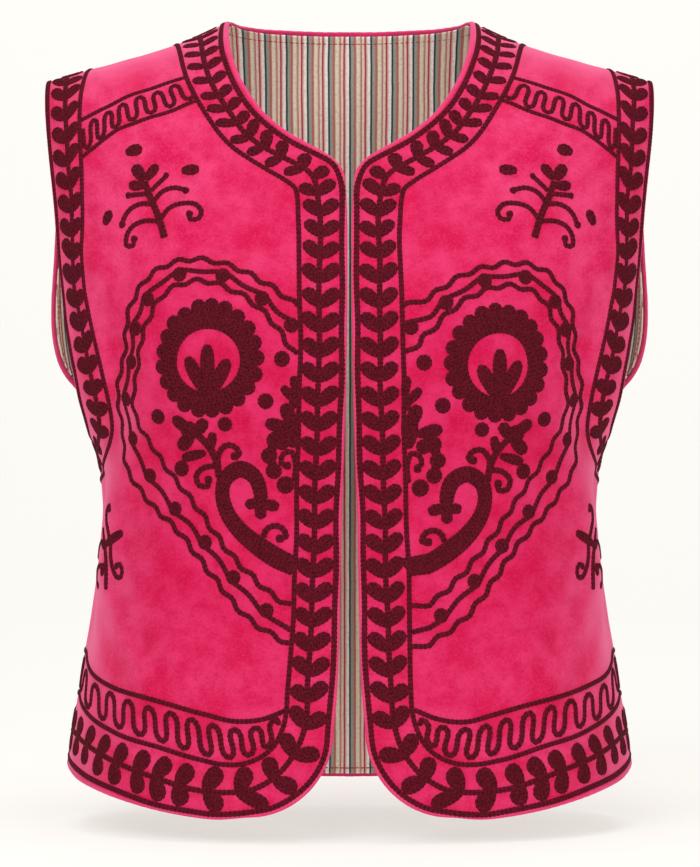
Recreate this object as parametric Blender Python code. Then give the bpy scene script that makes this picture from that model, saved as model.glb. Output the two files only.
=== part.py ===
"""Embroidered folk vest: a sleeveless, collarless velvet vest, open in front, with a striped lining.

The vest keeps the hollow form it has when it is worn. Every panel is drawn as a flat pattern on the
surface of that form and given its cloth thickness. Pattern places are pairs (across, up):
  across  millimetres round the form from the centre front or centre back line,
  up      millimetres along the cloth; below the chest line it is the height itself.
The origin lies between the shoulder seams, where the wearer's shoulders hold the vest up.
Front is -Y, up is +Z, and the wearer's left is +X.
"""

import bmesh
import bpy
import numpy as np

MM = 0.001

# Cloth, mm
VELVET_WALL = 2.0
LINING_WALL = 1.0
LAYER_GAP = 0.6
SEAM_GAP = 0.3
LINING_SETBACK = 2.0

# Seams, mm: the side seam runs this far behind the widest line of the form
SEAM_BEHIND = 12.0
UNDERARM_HEIGHT = -243.5
SIDE_HEM_HEIGHT = -448.0

# Horizontal sections of the form, from the hem up to the neck, mm
SECTION_COLUMNS = (
    "height", "front_half_width", "back_half_width",
    "front_depth", "back_depth", "front_power", "back_power",
)
SECTIONS = (
    (-500, 187.0, 187.0, 122.0, 116.0, 2.25, 2.35),
    (-450, 178.5, 178.5, 118.0, 112.0, 2.25, 2.35),
    (-417, 173.7, 173.7, 115.0, 108.5, 2.25, 2.35),
    (-379, 167.6, 167.6, 110.5, 103.5, 2.25, 2.35),
    (-341, 162.4, 162.4, 107.0, 99.0, 2.25, 2.40),
    (-303, 158.2, 158.2, 105.0, 96.0, 2.25, 2.40),
    (-283, 157.0, 157.0, 105.5, 95.5, 2.25, 2.40),
    (-265, 158.3, 158.3, 107.5, 96.0, 2.25, 2.45),
    (-240, 165.5, 165.5, 111.5, 98.0, 2.20, 2.50),
    (-217, 180.0, 180.0, 115.5, 100.5, 2.20, 2.55),
    (-198, 184.5, 191.0, 117.5, 103.0, 2.20, 2.60),
    (-180, 185.0, 197.0, 117.0, 105.0, 2.20, 2.60),
    (-157, 186.5, 200.5, 113.5, 106.0, 2.20, 2.60),
    (-120, 191.5, 201.5, 102.0, 104.0, 2.20, 2.60),
    (-90, 196.0, 202.5, 91.5, 99.0, 2.20, 2.60),
    (-60, 200.5, 204.0, 81.0, 90.0, 2.20, 2.60),
    (-20, 206.0, 206.0, 69.0, 74.0, 2.20, 2.60),
    (30, 210.0, 210.0, 60.0, 52.0, 2.20, 2.60),
)

# Shoulder line seen from the front: distance from the middle and height, mm. Inside the neck
# point it is only the line that the neckline is cut from.
SHOULDER_LINE = (
    (0, 78.0), (30, 58.0), (55, 36.5), (77, 20.0), (92, 12.3),
    (110, 5.0), (136, -2.9), (162, -9.8), (189, -17.6), (212, -25.0),
)
NECK_POINT = 77.0
SHOULDER_TIP = 192.0
SHOULDER_ROUNDING = 70.0
CHEST_LINE = -120.0

# Pattern of a front, mm: places (across, up)
FRONT_CORNER_CENTRE = (62.0, -420.0)
FRONT_CORNER_RADIUS = 52.5
FRONT_EDGE = (
    (9.5, -420), (7.6, -400), (6.4, -375), (5.6, -340), (4.6, -290), (2.8, -240),
    (1.6, -190), (1.2, -140), (1.6, -100), (2.4, -86),
)
FRONT_NECK = (
    (2.4, -86), (3.0, -81), (5.4, -75), (12.4, -68), (23.6, -60.8), (35.8, -52.8),
    (48.6, -41), (59.2, -24), (66, -5), (69, 12), (70.2, 28),
)
FRONT_HEM = (
    (62, -472.5), (81, -474.2), (98, -473), (114, -471), (148, -465), (176, -459.5),
    (195, -456), (211, -452.5), (240, -449),
)
FRONT_ARMHOLE = (
    (222, -242.6), (208, -238), (197.5, -230.5), (192.5, -219), (193.5, -206), (198, -191),
    (203.5, -173), (206, -150), (204.5, -125), (201, -95), (199.5, -65), (198, -35),
)

# Pattern of half the back, mm
BACK_HEM = ((0, -470), (60, -468.5), (120, -463), (175, -455), (215, -449.5))
BACK_NECK = ((0, 29.0), (19.3, 30.2), (38.6, 33.8), (57.8, 41.6), (67.5, 50.0))
BACK_ARMHOLE = (
    (197.5, -242), (190.5, -237), (187, -229), (191, -220), (199.5, -212), (207, -206),
    (212.5, -198), (215, -187), (215.3, -175), (214, -161), (210.8, -140), (206.6, -110),
    (202.8, -80), (201.2, -48), (201, -29),
)

# Mesh steps along each stretch of a panel's outline
SIDE_ROWS = 8
CORNER_ROWS = 2
LOWER_EDGE_ROWS = 6
UPPER_EDGE_ROWS = 8
NECK_ROWS = 8
LOWER_EDGE_TOP = -300.0
CORNER_HEM_STEPS = 6
FRONT_COLUMNS = 12
BACK_ARMHOLE_ROWS = 12
BACK_NECK_COLUMNS = 4
BACK_SHOULDER_COLUMNS = 8

# Soft fullness, folds and troughs of the cloth, mm: a line from one place to another,
# how far it spreads either side, and how far the cloth stands out (or in) there. They fade
# out over this length towards the side seam. Columns: across_1, up_1, across_2, up_2,
# spread, height.
FOLD_FADE = 26.0
FRONT_FOLDS = (
    (80, -178, 92, -212, 38, 5.0),
    (150, -196, 160, -250, 11, -4.0),
    (160, -262, 176, -330, 13, 3.0),
    (196, -270, 206, -360, 12, -3.0),
    (118, -330, 126, -430, 20, 2.5),
)
BACK_FOLDS = (
    (95, -150, 100, -200, 34, 4.0),
    (150, -215, 168, -300, 13, -4.0),
    (70, -260, 84, -380, 16, 3.0),
    (120, -290, 138, -410, 14, -3.0),
    (36, -330, 40, -440, 18, -2.0),
)

# The form is worked out on a net of this pitch, mm. Above the shoulder seam the net runs on
# level for a while, so that the seam always lies inside it.
NET_PITCH = 2.5
NET_ACROSS = 330.0
NET_BOTTOM = -500.0
NET_TOP = 90.0
PAST_SHOULDER = 100.0
SEAM_SEARCH_BOTTOM = -60.0

# Points used to measure a section, an upright line and a seam, and a pattern line
SECTION_POINTS = 721
UPRIGHT_POINTS = 400
SEAM_POINTS = 301
LINE_POINTS = 40
SHOULDER_PASSES = 6

# Edges of the solids sharper than this stay crisp, degrees
CRISP_ANGLE = 40.0

VELVET_COLOUR = (0.745, 0.014, 0.115, 1.0)
LINING_COLOUR = (0.60, 0.52, 0.45, 1.0)


def smooth_through(knots, values, at):
    """Read a smooth curve through a short table."""
    knots = np.asarray(knots, float)
    values = np.asarray(values, float)
    width = np.diff(knots)
    rise = np.diff(values) / width
    slope = np.empty_like(values)
    slope[1:-1] = (rise[:-1] * width[1:] + rise[1:] * width[:-1]) / (width[:-1] + width[1:])
    slope[0] = rise[0]
    slope[-1] = rise[-1]
    at = np.clip(at, knots[0], knots[-1])
    i = np.clip(np.searchsorted(knots, at) - 1, 0, len(knots) - 2)
    t = (at - knots[i]) / width[i]
    start = (2 * t**3 - 3 * t**2 + 1) * values[i] + (t**3 - 2 * t**2 + t) * width[i] * slope[i]
    end = (3 * t**2 - 2 * t**3) * values[i + 1] + (t**3 - t**2) * width[i] * slope[i + 1]
    return start + end


def section(column, height):
    """One measure of the form's horizontal section at a height."""
    k = SECTION_COLUMNS.index(column)
    return smooth_through([row[0] for row in SECTIONS], [row[k] for row in SECTIONS], height)


def shoulder_height(x):
    """Height of the shoulder line at a distance from the middle."""
    return smooth_through([p[0] for p in SHOULDER_LINE], [p[1] for p in SHOULDER_LINE], np.abs(x))


def depth(side, x, height):
    """How far the form stands in front of, or behind, the side line."""
    power = section(side + "_power", height)
    share = np.clip(np.abs(x) / section(side + "_half_width", height), 0, 1)
    rounding = np.clip((shoulder_height(x) - height) / SHOULDER_ROUNDING, 0, 1)
    flat = section(side + "_depth", height) * (1 - share**power) ** (1 / power)
    return flat * np.sqrt(1 - (1 - rounding) ** 2)


def along(*coordinates):
    """Length run along a line, from its first point."""
    steps = np.sqrt(sum(np.diff(c) ** 2 for c in coordinates))
    return np.concatenate([[0.0], np.cumsum(steps)])


class Form:
    """The surface that one side of the vest lies on, as a net of points over (across, up)."""

    def __init__(self, side, folds):
        self.side = side
        self.outward = -1.0 if side == "front" else 1.0
        self.across = np.arange(0, NET_ACROSS + NET_PITCH, NET_PITCH)
        self.up = np.arange(NET_BOTTOM, NET_TOP + NET_PITCH, NET_PITCH)
        self.net = np.zeros((len(self.up), len(self.across), 3))
        chest = int(round((CHEST_LINE - NET_BOTTOM) / NET_PITCH))
        for row in range(chest + 1):
            self.net[row] = self.level_line(self.up[row])
        for column in range(len(self.across)):
            start = self.net[chest, column, 0]
            self.net[chest:, column] = self.upright_line(start, self.up[chest:])
        self.net += self.net_normals() * self.fold_height(folds)[..., None]

    def level_line(self, height):
        """The section at one height, from the centre round the side, spaced by its length."""
        other = "back" if self.side == "front" else "front"
        turn = np.linspace(0, np.pi / 2, SECTION_POINTS)
        half = section(self.side + "_half_width", height)
        other_half = section(other + "_half_width", height)
        near_x = half * np.sin(turn)
        near_y = self.outward * depth(self.side, near_x, height)
        far_x = (half * np.sin(turn))[::-1][1:]
        far_y = -self.outward * depth(other, far_x * other_half / half, height)
        x = np.concatenate([near_x, far_x])
        y = np.concatenate([near_y, far_y])
        run = along(x, y)
        places = [np.interp(self.across, run, x), np.interp(self.across, run, y)]
        return np.stack(places + [np.full(len(self.across), height)], axis=1)

    def upright_line(self, chest_x, ups):
        """The line from a place on the chest line up to the shoulder seam and level past it."""
        chest_half = section(self.side + "_half_width", CHEST_LINE)
        top = 0.0
        for _ in range(SHOULDER_PASSES):
            top = shoulder_height(chest_x * section(self.side + "_half_width", top) / chest_half)
        climb = np.linspace(0, 1, UPRIGHT_POINTS)
        z = CHEST_LINE + (top - CHEST_LINE) * (1 - (1 - climb) ** 2)
        x = chest_x * section(self.side + "_half_width", z) / chest_half
        y = self.outward * depth(self.side, x, z)
        run = along(x, y, z) + CHEST_LINE
        run = np.append(run, run[-1] + PAST_SHOULDER)
        x = np.append(x, x[-1])
        y = np.append(y, -self.outward * PAST_SHOULDER)
        z = np.append(z, top)
        return np.stack([np.interp(ups, run, c) for c in (x, y, z)], axis=1)

    def net_normals(self):
        """Outward normals of the net."""
        tangent_up = np.gradient(self.net, axis=0)
        tangent_across = np.gradient(self.net, axis=1)
        normal = np.cross(tangent_across, tangent_up) * -self.outward
        return normal / np.maximum(np.linalg.norm(normal, axis=2, keepdims=True), 1e-9)

    def fold_height(self, folds):
        """How far the cloth stands out from the plain form, over the net."""
        across, up = np.meshgrid(self.across, self.up)
        total = np.zeros_like(across)
        for across_1, up_1, across_2, up_2, spread, height in folds:
            run = np.array([across_2 - across_1, up_2 - up_1], float)
            t = ((across - across_1) * run[0] + (up - up_1) * run[1]) / (run @ run)
            t = np.clip(t, 0, 1)
            off = (across - across_1 - t * run[0]) ** 2 + (up - up_1 - t * run[1]) ** 2
            total += height * np.exp(-off / (2 * spread**2))
        ahead = self.outward * (self.net[..., 1] - SEAM_BEHIND)
        fade = np.clip(ahead / FOLD_FADE, 0, 1)
        return total * fade * fade * (3 - 2 * fade)

    def read(self, values, places):
        """Read the net at (across, up) places."""
        columns = np.clip(places[..., 0] / NET_PITCH, 0, len(self.across) - 1.001)
        rows = np.clip((places[..., 1] - NET_BOTTOM) / NET_PITCH, 0, len(self.up) - 1.001)
        c = columns.astype(int)
        r = rows.astype(int)
        s = (columns - c)[..., None]
        t = (rows - r)[..., None]
        low = values[r, c] * (1 - s) + values[r, c + 1] * s
        high = values[r + 1, c] * (1 - s) + values[r + 1, c + 1] * s
        return low * (1 - t) + high * t

    def side_seam(self, height):
        """How far across the side seam is at a height."""
        target = SEAM_BEHIND * (1.0 if self.side == "front" else -1.0)
        side = self.across[len(self.across) // 3:]
        places = np.stack([side, np.full(len(side), height)], axis=1)
        behind = -self.outward * self.read(self.net, places)[:, 1]
        return np.interp(target, behind, side)

    def shoulder_seam(self, x):
        """The (across, up) place of the shoulder seam at a distance from the middle."""
        chest_half = section(self.side + "_half_width", CHEST_LINE)
        top_half = section(self.side + "_half_width", shoulder_height(x))
        chest = int(round((CHEST_LINE - NET_BOTTOM) / NET_PITCH))
        line = self.net[chest, :, 0]
        widest = int(np.argmax(line))
        across = np.interp(x * chest_half / top_half, line[: widest + 1], self.across[: widest + 1])
        ups = np.linspace(SEAM_SEARCH_BOTTOM, NET_TOP, SEAM_POINTS)
        places = np.stack([np.full(len(ups), across), ups], axis=1)
        short_of_seam = self.outward * self.read(self.net, places)[:, 1]
        return across, np.interp(0.0, -short_of_seam, ups)


def spaced(points, steps):
    """A smooth line through pattern places, cut in equal steps."""
    points = np.asarray(points, float)
    rough = along(points[:, 0], points[:, 1])
    fine = np.linspace(0, rough[-1], LINE_POINTS * len(points))
    line = np.stack([smooth_through(rough, points[:, k], fine) for k in (0, 1)], axis=1)
    run = along(line[:, 0], line[:, 1])
    marks = np.linspace(0, run[-1], steps + 1)
    return np.stack([np.interp(marks, run, line[:, k]) for k in (0, 1)], axis=1)


def join(*lines):
    """Join lines end to end, each starting where the last one ends."""
    return np.concatenate([lines[0]] + [line[1:] for line in lines[1:]])


def corner_arc(start_degrees, end_degrees, steps):
    """The rounded lower corner of a front, in degrees below the horizontal."""
    turn = np.radians(np.linspace(start_degrees, end_degrees, steps + 1))
    x = FRONT_CORNER_CENTRE[0] - FRONT_CORNER_RADIUS * np.cos(turn)
    z = FRONT_CORNER_CENTRE[1] - FRONT_CORNER_RADIUS * np.sin(turn)
    return np.stack([x, z], axis=1)


def fill_outline(bottom, top, inner, outer):
    """Places over a panel, blended from its four edges."""
    rows = len(inner)
    columns = len(bottom)
    v = np.linspace(0, 1, rows)[:, None, None]
    u = np.linspace(0, 1, columns)[None, :, None]
    level = (1 - v) * bottom[None] + v * top[None]
    upright = (1 - u) * inner[:, None] + u * outer[:, None]
    low = (1 - u) * bottom[0] + u * bottom[-1]
    high = (1 - u) * top[0] + u * top[-1]
    return level + upright - (1 - v) * low - v * high


def side_seam_line(form):
    """The side seam from hem to underarm, short of it by half the seam gap."""
    heights = np.linspace(SIDE_HEM_HEIGHT, UNDERARM_HEIGHT, SIDE_ROWS + 1)
    across = [form.side_seam(height) - SEAM_GAP / 2 for height in heights]
    return np.stack([across, heights], axis=1)


def shoulder_line(form, steps):
    """The shoulder seam from neck point to shoulder tip, short of it by half the seam gap."""
    xs = np.linspace(NECK_POINT, SHOULDER_TIP, steps + 1)
    places = np.array([form.shoulder_seam(x) for x in xs])
    places[:, 1] -= SEAM_GAP / 2
    return places


def front_places(form):
    """Pattern places over a front, rows from the hem up and columns from the opening out."""
    seam = side_seam_line(form)
    top = shoulder_line(form, FRONT_COLUMNS)
    split = [i for i, p in enumerate(FRONT_EDGE) if p[1] > LOWER_EDGE_TOP][0]
    lower = spaced(FRONT_EDGE[: split + 1], LOWER_EDGE_ROWS)
    upper = spaced(FRONT_EDGE[split:], UPPER_EDGE_ROWS)
    neck = spaced(FRONT_NECK + (tuple(top[0]),), NECK_ROWS)
    inner = join(corner_arc(45, 0, CORNER_ROWS), lower, upper, neck)
    hem = np.concatenate([corner_arc(45, 90, CORNER_HEM_STEPS), np.array(FRONT_HEM[1:]), seam[:1]])
    armhole_rows = len(inner) - 1 - SIDE_ROWS
    armhole = spaced((tuple(seam[-1]),) + FRONT_ARMHOLE + (tuple(top[-1]),), armhole_rows)
    return fill_outline(spaced(hem, FRONT_COLUMNS), top, inner, join(seam, armhole))


def back_places(form):
    """Pattern places over half the back, columns from the centre out."""
    seam = side_seam_line(form)
    shoulder = shoulder_line(form, BACK_SHOULDER_COLUMNS)
    neck = spaced(BACK_NECK + (tuple(shoulder[0]),), BACK_NECK_COLUMNS)
    hem = spaced(BACK_HEM + (tuple(seam[0]),), BACK_NECK_COLUMNS + BACK_SHOULDER_COLUMNS)
    armhole = spaced((tuple(seam[-1]),) + BACK_ARMHOLE + (tuple(shoulder[-1]),), BACK_ARMHOLE_ROWS)
    outer = join(seam, armhole)
    centre = spaced((BACK_HEM[0], BACK_NECK[0]), len(outer) - 1)
    return fill_outline(hem, join(neck, shoulder), centre, outer)


def layers(form, places, seam_columns):
    """Faces of the cloth layers over a panel: velvet out and in, lining out and in."""
    surface = form.read(form.net, places)
    normal = form.read(form.net_normals(), places)
    normal[-1, seam_columns, 1] = 0.0
    normal /= np.linalg.norm(normal, axis=2, keepdims=True)
    depths = np.cumsum([0.0, VELVET_WALL, LAYER_GAP, LINING_WALL])
    return [surface - d * normal for d in depths]


def set_back(face, free_edges):
    """Draw a lining face back from the panel's free edges, along its own cloth. Each free
    edge is its rows and columns, and the rows and columns next to it on the inside."""
    face = face.copy()
    for rows, columns, inward_row, inward_column in free_edges:
        border = face[rows, columns]
        inside = face[inward_row, inward_column]
        reach = inside - border
        length = np.linalg.norm(reach, axis=-1, keepdims=True)
        face[rows, columns] = border + reach * (LINING_SETBACK / length)
    return face


def both_halves(face):
    """A whole back from its right-hand half."""
    mirrored = face[:, :0:-1] * np.array([-1.0, 1.0, 1.0])
    return np.concatenate([mirrored, face], axis=1)


def cloth_material(name, colour, roughness, sheen):
    """A plain woven-cloth finish."""
    material = bpy.data.materials.new(name)
    material.use_nodes = True
    shader = material.node_tree.nodes["Principled BSDF"]
    shader.inputs["Base Color"].default_value = colour
    shader.inputs["Roughness"].default_value = roughness
    shader.inputs["Metallic"].default_value = 0.0
    shader.inputs["Sheen Weight"].default_value = sheen
    return material


def make_panel(name, outer, inner, material):
    """Sew a panel's two faces together round its edge into one closed solid."""
    rows, columns = outer.shape[:2]
    mesh = bmesh.new()
    cell = mesh.verts.layers.int.new("cell")
    bmesh.ops.create_grid(mesh, x_segments=columns - 1, y_segments=rows - 1, size=0.5)
    for vertex in mesh.verts:
        row = round((vertex.co.y + 0.5) * (rows - 1))
        column = round((vertex.co.x + 0.5) * (columns - 1))
        vertex[cell] = row * columns + column
        vertex.co = outer[row, column] * MM
    bmesh.ops.triangulate(mesh, faces=mesh.faces[:], quad_method="FIXED")
    walls = bmesh.ops.extrude_face_region(mesh, geom=mesh.faces[:], use_keep_orig=True)
    for vertex in walls["geom"]:
        if isinstance(vertex, bmesh.types.BMVert):
            row, column = divmod(vertex[cell], columns)
            vertex.co = inner[row, column] * MM
    bmesh.ops.recalc_face_normals(mesh, faces=mesh.faces[:])
    if mesh.calc_volume(signed=True) < 0:
        bmesh.ops.reverse_faces(mesh, faces=mesh.faces[:])
    data = bpy.data.meshes.new(name)
    mesh.to_mesh(data)
    mesh.free()
    data.shade_smooth()
    data.set_sharp_from_angle(angle=np.radians(CRISP_ANGLE))
    data.materials.append(material)
    panel = bpy.data.objects.new(name, data)
    bpy.context.scene.collection.objects.link(panel)
    return panel


def make_front(form, velvet, lining):
    """Both fronts and their linings."""
    faces = layers(form, front_places(form), slice(None))
    last = faces[0].shape[1] - 1
    above_side_seam = slice(SIDE_ROWS, None)
    opening_and_neck = (slice(None), 0, slice(None), 1)
    armhole = (above_side_seam, last, above_side_seam, last - 1)
    hem = (0, slice(None), 1, slice(None))
    free = (opening_and_neck, armhole, hem)
    outer_lining = set_back(faces[2], free)
    inner_lining = set_back(faces[3], free)
    for suffix, mirror in (("left", 1.0), ("right", -1.0)):
        turn = np.array([mirror, 1.0, 1.0])
        make_panel("front_" + suffix, faces[0] * turn, faces[1] * turn, velvet)
        make_panel("lining_front_" + suffix, outer_lining * turn, inner_lining * turn, lining)


def make_back(form, velvet, lining):
    """The back and its lining."""
    faces = layers(form, back_places(form), slice(BACK_NECK_COLUMNS, None))
    last = faces[0].shape[1] - 1
    above_side_seam = slice(SIDE_ROWS, None)
    neck_columns = slice(0, BACK_NECK_COLUMNS)
    neck = (-1, neck_columns, -2, neck_columns)
    armhole = (above_side_seam, last, above_side_seam, last - 1)
    hem = (0, slice(None), 1, slice(None))
    free = (neck, armhole, hem)
    outer_lining = set_back(faces[2], free)
    inner_lining = set_back(faces[3], free)
    make_panel("back", both_halves(faces[0]), both_halves(faces[1]), velvet)
    make_panel("lining_back", both_halves(outer_lining), both_halves(inner_lining), lining)


def main():
    for old in list(bpy.data.objects):
        bpy.data.objects.remove(old, do_unlink=True)
    velvet = cloth_material("pink_cotton_velvet", VELVET_COLOUR, 0.85, 0.5)
    lining = cloth_material("striped_cotton_lining", LINING_COLOUR, 0.8, 0.1)
    make_front(Form("front", FRONT_FOLDS), velvet, lining)
    make_back(Form("back", BACK_FOLDS), velvet, lining)


main()
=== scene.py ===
"""Looks of an embroidered velvet vest: pink velvet panels with rolled edges, a striped cotton
lining, and maroon chain-stitch embroidery worked on the velvet row by row.

Pattern places are pairs (across, up) in millimetres on the form of the vest, as in the solids:
  across  round the form from the centre front or centre back line,
  up      along the cloth; below the chest line it is the height itself.
Front is -Y, up is +Z, and the wearer's left is +X.
"""

import bmesh
import bpy
import numpy as np
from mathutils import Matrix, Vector

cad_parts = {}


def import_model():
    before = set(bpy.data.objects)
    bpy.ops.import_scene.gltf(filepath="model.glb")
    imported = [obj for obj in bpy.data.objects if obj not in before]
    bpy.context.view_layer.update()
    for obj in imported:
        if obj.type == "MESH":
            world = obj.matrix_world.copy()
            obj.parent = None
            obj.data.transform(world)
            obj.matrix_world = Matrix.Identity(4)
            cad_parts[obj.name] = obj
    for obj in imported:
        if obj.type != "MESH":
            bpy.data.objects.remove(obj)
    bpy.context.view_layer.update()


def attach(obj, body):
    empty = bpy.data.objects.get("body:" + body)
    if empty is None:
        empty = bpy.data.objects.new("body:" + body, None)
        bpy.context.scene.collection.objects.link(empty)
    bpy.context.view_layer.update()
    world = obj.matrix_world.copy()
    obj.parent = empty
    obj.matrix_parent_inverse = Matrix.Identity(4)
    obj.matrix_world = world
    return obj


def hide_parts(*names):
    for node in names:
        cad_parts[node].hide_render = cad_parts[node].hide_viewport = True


MM = 0.001
FLOOR_HEIGHT = -0.4885
SIDES = (("left", 1.0), ("right", -1.0))
# One turn of a wave, radians
TURN = 6.283

# Cloth, mm
VELVET_WALL = 2.0
TURNED_WALL = 1.5
LINING_OUT = -2.5
LINING_IN = -3.3
LINING_TRIM = 2.3
SEAM_GAP = 0.3
SEAM_BEHIND = 12.0
UNDERARM_HEIGHT = -243.5
SIDE_HEM_HEIGHT = -448.0

# Horizontal sections of the form, mm
SECTION_COLUMNS = (
    "height", "front_half_width", "back_half_width",
    "front_depth", "back_depth", "front_power", "back_power",
)
SECTIONS = (
    (-500, 187.0, 187.0, 122.0, 116.0, 2.25, 2.35),
    (-450, 178.5, 178.5, 118.0, 112.0, 2.25, 2.35),
    (-417, 173.7, 173.7, 115.0, 108.5, 2.25, 2.35),
    (-379, 167.6, 167.6, 110.5, 103.5, 2.25, 2.35),
    (-341, 162.4, 162.4, 107.0, 99.0, 2.25, 2.40),
    (-303, 158.2, 158.2, 105.0, 96.0, 2.25, 2.40),
    (-283, 157.0, 157.0, 105.5, 95.5, 2.25, 2.40),
    (-265, 158.3, 158.3, 107.5, 96.0, 2.25, 2.45),
    (-240, 165.5, 165.5, 111.5, 98.0, 2.20, 2.50),
    (-217, 180.0, 180.0, 115.5, 100.5, 2.20, 2.55),
    (-198, 184.5, 191.0, 117.5, 103.0, 2.20, 2.60),
    (-180, 185.0, 197.0, 117.0, 105.0, 2.20, 2.60),
    (-157, 186.5, 200.5, 113.5, 106.0, 2.20, 2.60),
    (-120, 191.5, 201.5, 102.0, 104.0, 2.20, 2.60),
    (-90, 196.0, 202.5, 91.5, 99.0, 2.20, 2.60),
    (-60, 200.5, 204.0, 81.0, 90.0, 2.20, 2.60),
    (-20, 206.0, 206.0, 69.0, 74.0, 2.20, 2.60),
    (30, 210.0, 210.0, 60.0, 52.0, 2.20, 2.60),
)
SHOULDER_LINE = (
    (0, 78.0), (30, 58.0), (55, 36.5), (77, 20.0), (92, 12.3),
    (110, 5.0), (136, -2.9), (162, -9.8), (189, -17.6), (212, -25.0),
)
NECK_POINT = 77.0
SHOULDER_TIP = 192.0
SHOULDER_ROUNDING = 70.0
CHEST_LINE = -120.0

# Pattern of a front and of half the back, mm
FRONT_CORNER_CENTRE = (62.0, -420.0)
FRONT_CORNER_RADIUS = 52.5
FRONT_EDGE = (
    (9.5, -420), (7.6, -400), (6.4, -375), (5.6, -340), (4.6, -290), (2.8, -240), (1.6, -190),
    (1.2, -140), (1.6, -100), (2.4, -86),
)
FRONT_NECK = (
    (2.4, -86), (3.0, -81), (5.4, -75), (12.4, -68), (23.6, -60.8), (35.8, -52.8), (48.6, -41),
    (59.2, -24), (66, -5), (69, 12), (70.2, 28),
)
FRONT_HEM = (
    (62, -472.5), (81, -474.2), (98, -473), (114, -471), (148, -465), (176, -459.5), (195, -456),
    (211, -452.5), (240, -449),
)
FRONT_ARMHOLE = (
    (222, -242.6), (208, -238), (197.5, -230.5), (192.5, -219), (193.5, -206), (198, -191),
    (203.5, -173), (206, -150), (204.5, -125), (201, -95), (199.5, -65), (198, -35),
)
BACK_HEM = ((0, -470), (60, -468.5), (120, -463), (175, -455), (215, -449.5))
BACK_NECK = ((0, 29.0), (19.3, 30.2), (38.6, 33.8), (57.8, 41.6), (67.5, 50.0))
BACK_ARMHOLE = (
    (197.5, -242), (190.5, -237), (187, -229), (191, -220), (199.5, -212), (207, -206), (212.5, -198),
    (215, -187), (215.3, -175), (214, -161), (210.8, -140), (206.6, -110), (202.8, -80), (201.2, -48),
    (201, -29),
)

# Soft folds, mm: a line between two places, its spread, and how far the cloth stands out
FOLD_FADE = 26.0
FRONT_FOLDS = (
    (80, -178, 92, -212, 38, 5.0),
    (150, -196, 160, -250, 11, -4.0),
    (160, -262, 176, -330, 13, 3.0),
    (196, -270, 206, -360, 12, -3.0),
    (118, -330, 126, -430, 20, 2.5),
)
BACK_FOLDS = (
    (95, -150, 100, -200, 34, 4.0),
    (150, -215, 168, -300, 13, -4.0),
    (70, -260, 84, -380, 16, 3.0),
    (120, -290, 138, -410, 14, -3.0),
    (36, -330, 40, -440, 18, -2.0),
)
NET_PITCH = 2.5
NET_ACROSS = 330.0
NET_BOTTOM = -500.0
NET_TOP = 90.0
PAST_SHOULDER = 100.0
# Points worked out on a quarter of a section, and up to the shoulder
QUARTER_POINTS = 721
CLIMB_POINTS = 400
# How many times the velvet's and the lining's edges are cut finer than these numbers of steps
VELVET_FINE = 6
LINING_FINE = 3
HEM_STEPS = 12
SIDE_STEPS = 8
CORNER_STEPS = 2
LOWER_EDGE_STEPS = 6
UPPER_EDGE_STEPS = 8
NECK_STEPS = {"front": 8, "back": 4}
SHOULDER_STEPS = {"front": 12, "back": 8}
ARM_STEPS = {"front": 16, "back": 12}
# Distance between the points of a fine line, mm
LINE_STEP = 0.7

# The rolled, turned edge: height of the pile over the form at distances from the edge, mm
ROLL_AT = (0, 0.5, 1.1, 1.8, 2.6, 3.4, 4.4, 6.0, 8.0)
ROLL_HEIGHT = (-0.7, 0.1, 0.4, 0.45, 0.2, 0.0, -0.05, -0.05, 0.0)
SEAM_DIP = 0.6
SEAM_DIP_WIDTH = 1.8
NEAR_EDGE = (0, 0.5, 1.1, 1.8, 2.6, 3.4, 4.4, 6.0)
LINING_NEAR_EDGE = (0, 1.5, 4.0)
# Low swells of soft cloth: wavelengths across and up, mm, and height
SWELLS = ((61, 83, 0.30), (37, -52, 0.22), (-29, 41, 0.16))
# They end this far from an edge or a seam
SWELL_END = 12.0

# A row of chain stitch, mm
LINK = 2.7
ROW_WIDTH = 3.1
ROW_PITCH = 2.4
LINE_WIDTH = 3.5
EDGE_WIDTH = 4.1
STEM_WIDTH = 4.0
OUTLINE_WIDTH = 3.7
ROW_RISE = 0.85
LINK_STEPS = 3
ROW_ACROSS = (-1.0, -0.78, 0.0, 0.78, 1.0)
ROW_HEIGHT = (-0.25, 0.68, 1.0, 0.68, -0.25)
LINK_WIDTHS = (0.76, 1.0, 0.95)
# The first and last points of an open row, as shares of its width and rise
ROW_END = (0.45, 0.3)
# Unevenness of handwork, mm; rows longer than LONG_ROW also wander in two slow waves
WANDER = 0.22
LONG_ROW = 60.0
WANDER_LENGTHS = (9.0, 21.0)
# Distance between the rings of a leaf, and its roundness
LEAF_RING = 2.6
LEAF_POWER = 0.86
# How near a leaf may come to the shoulder seam, mm
LEAF_SHORT_OF_SEAM = 1.5

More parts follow.
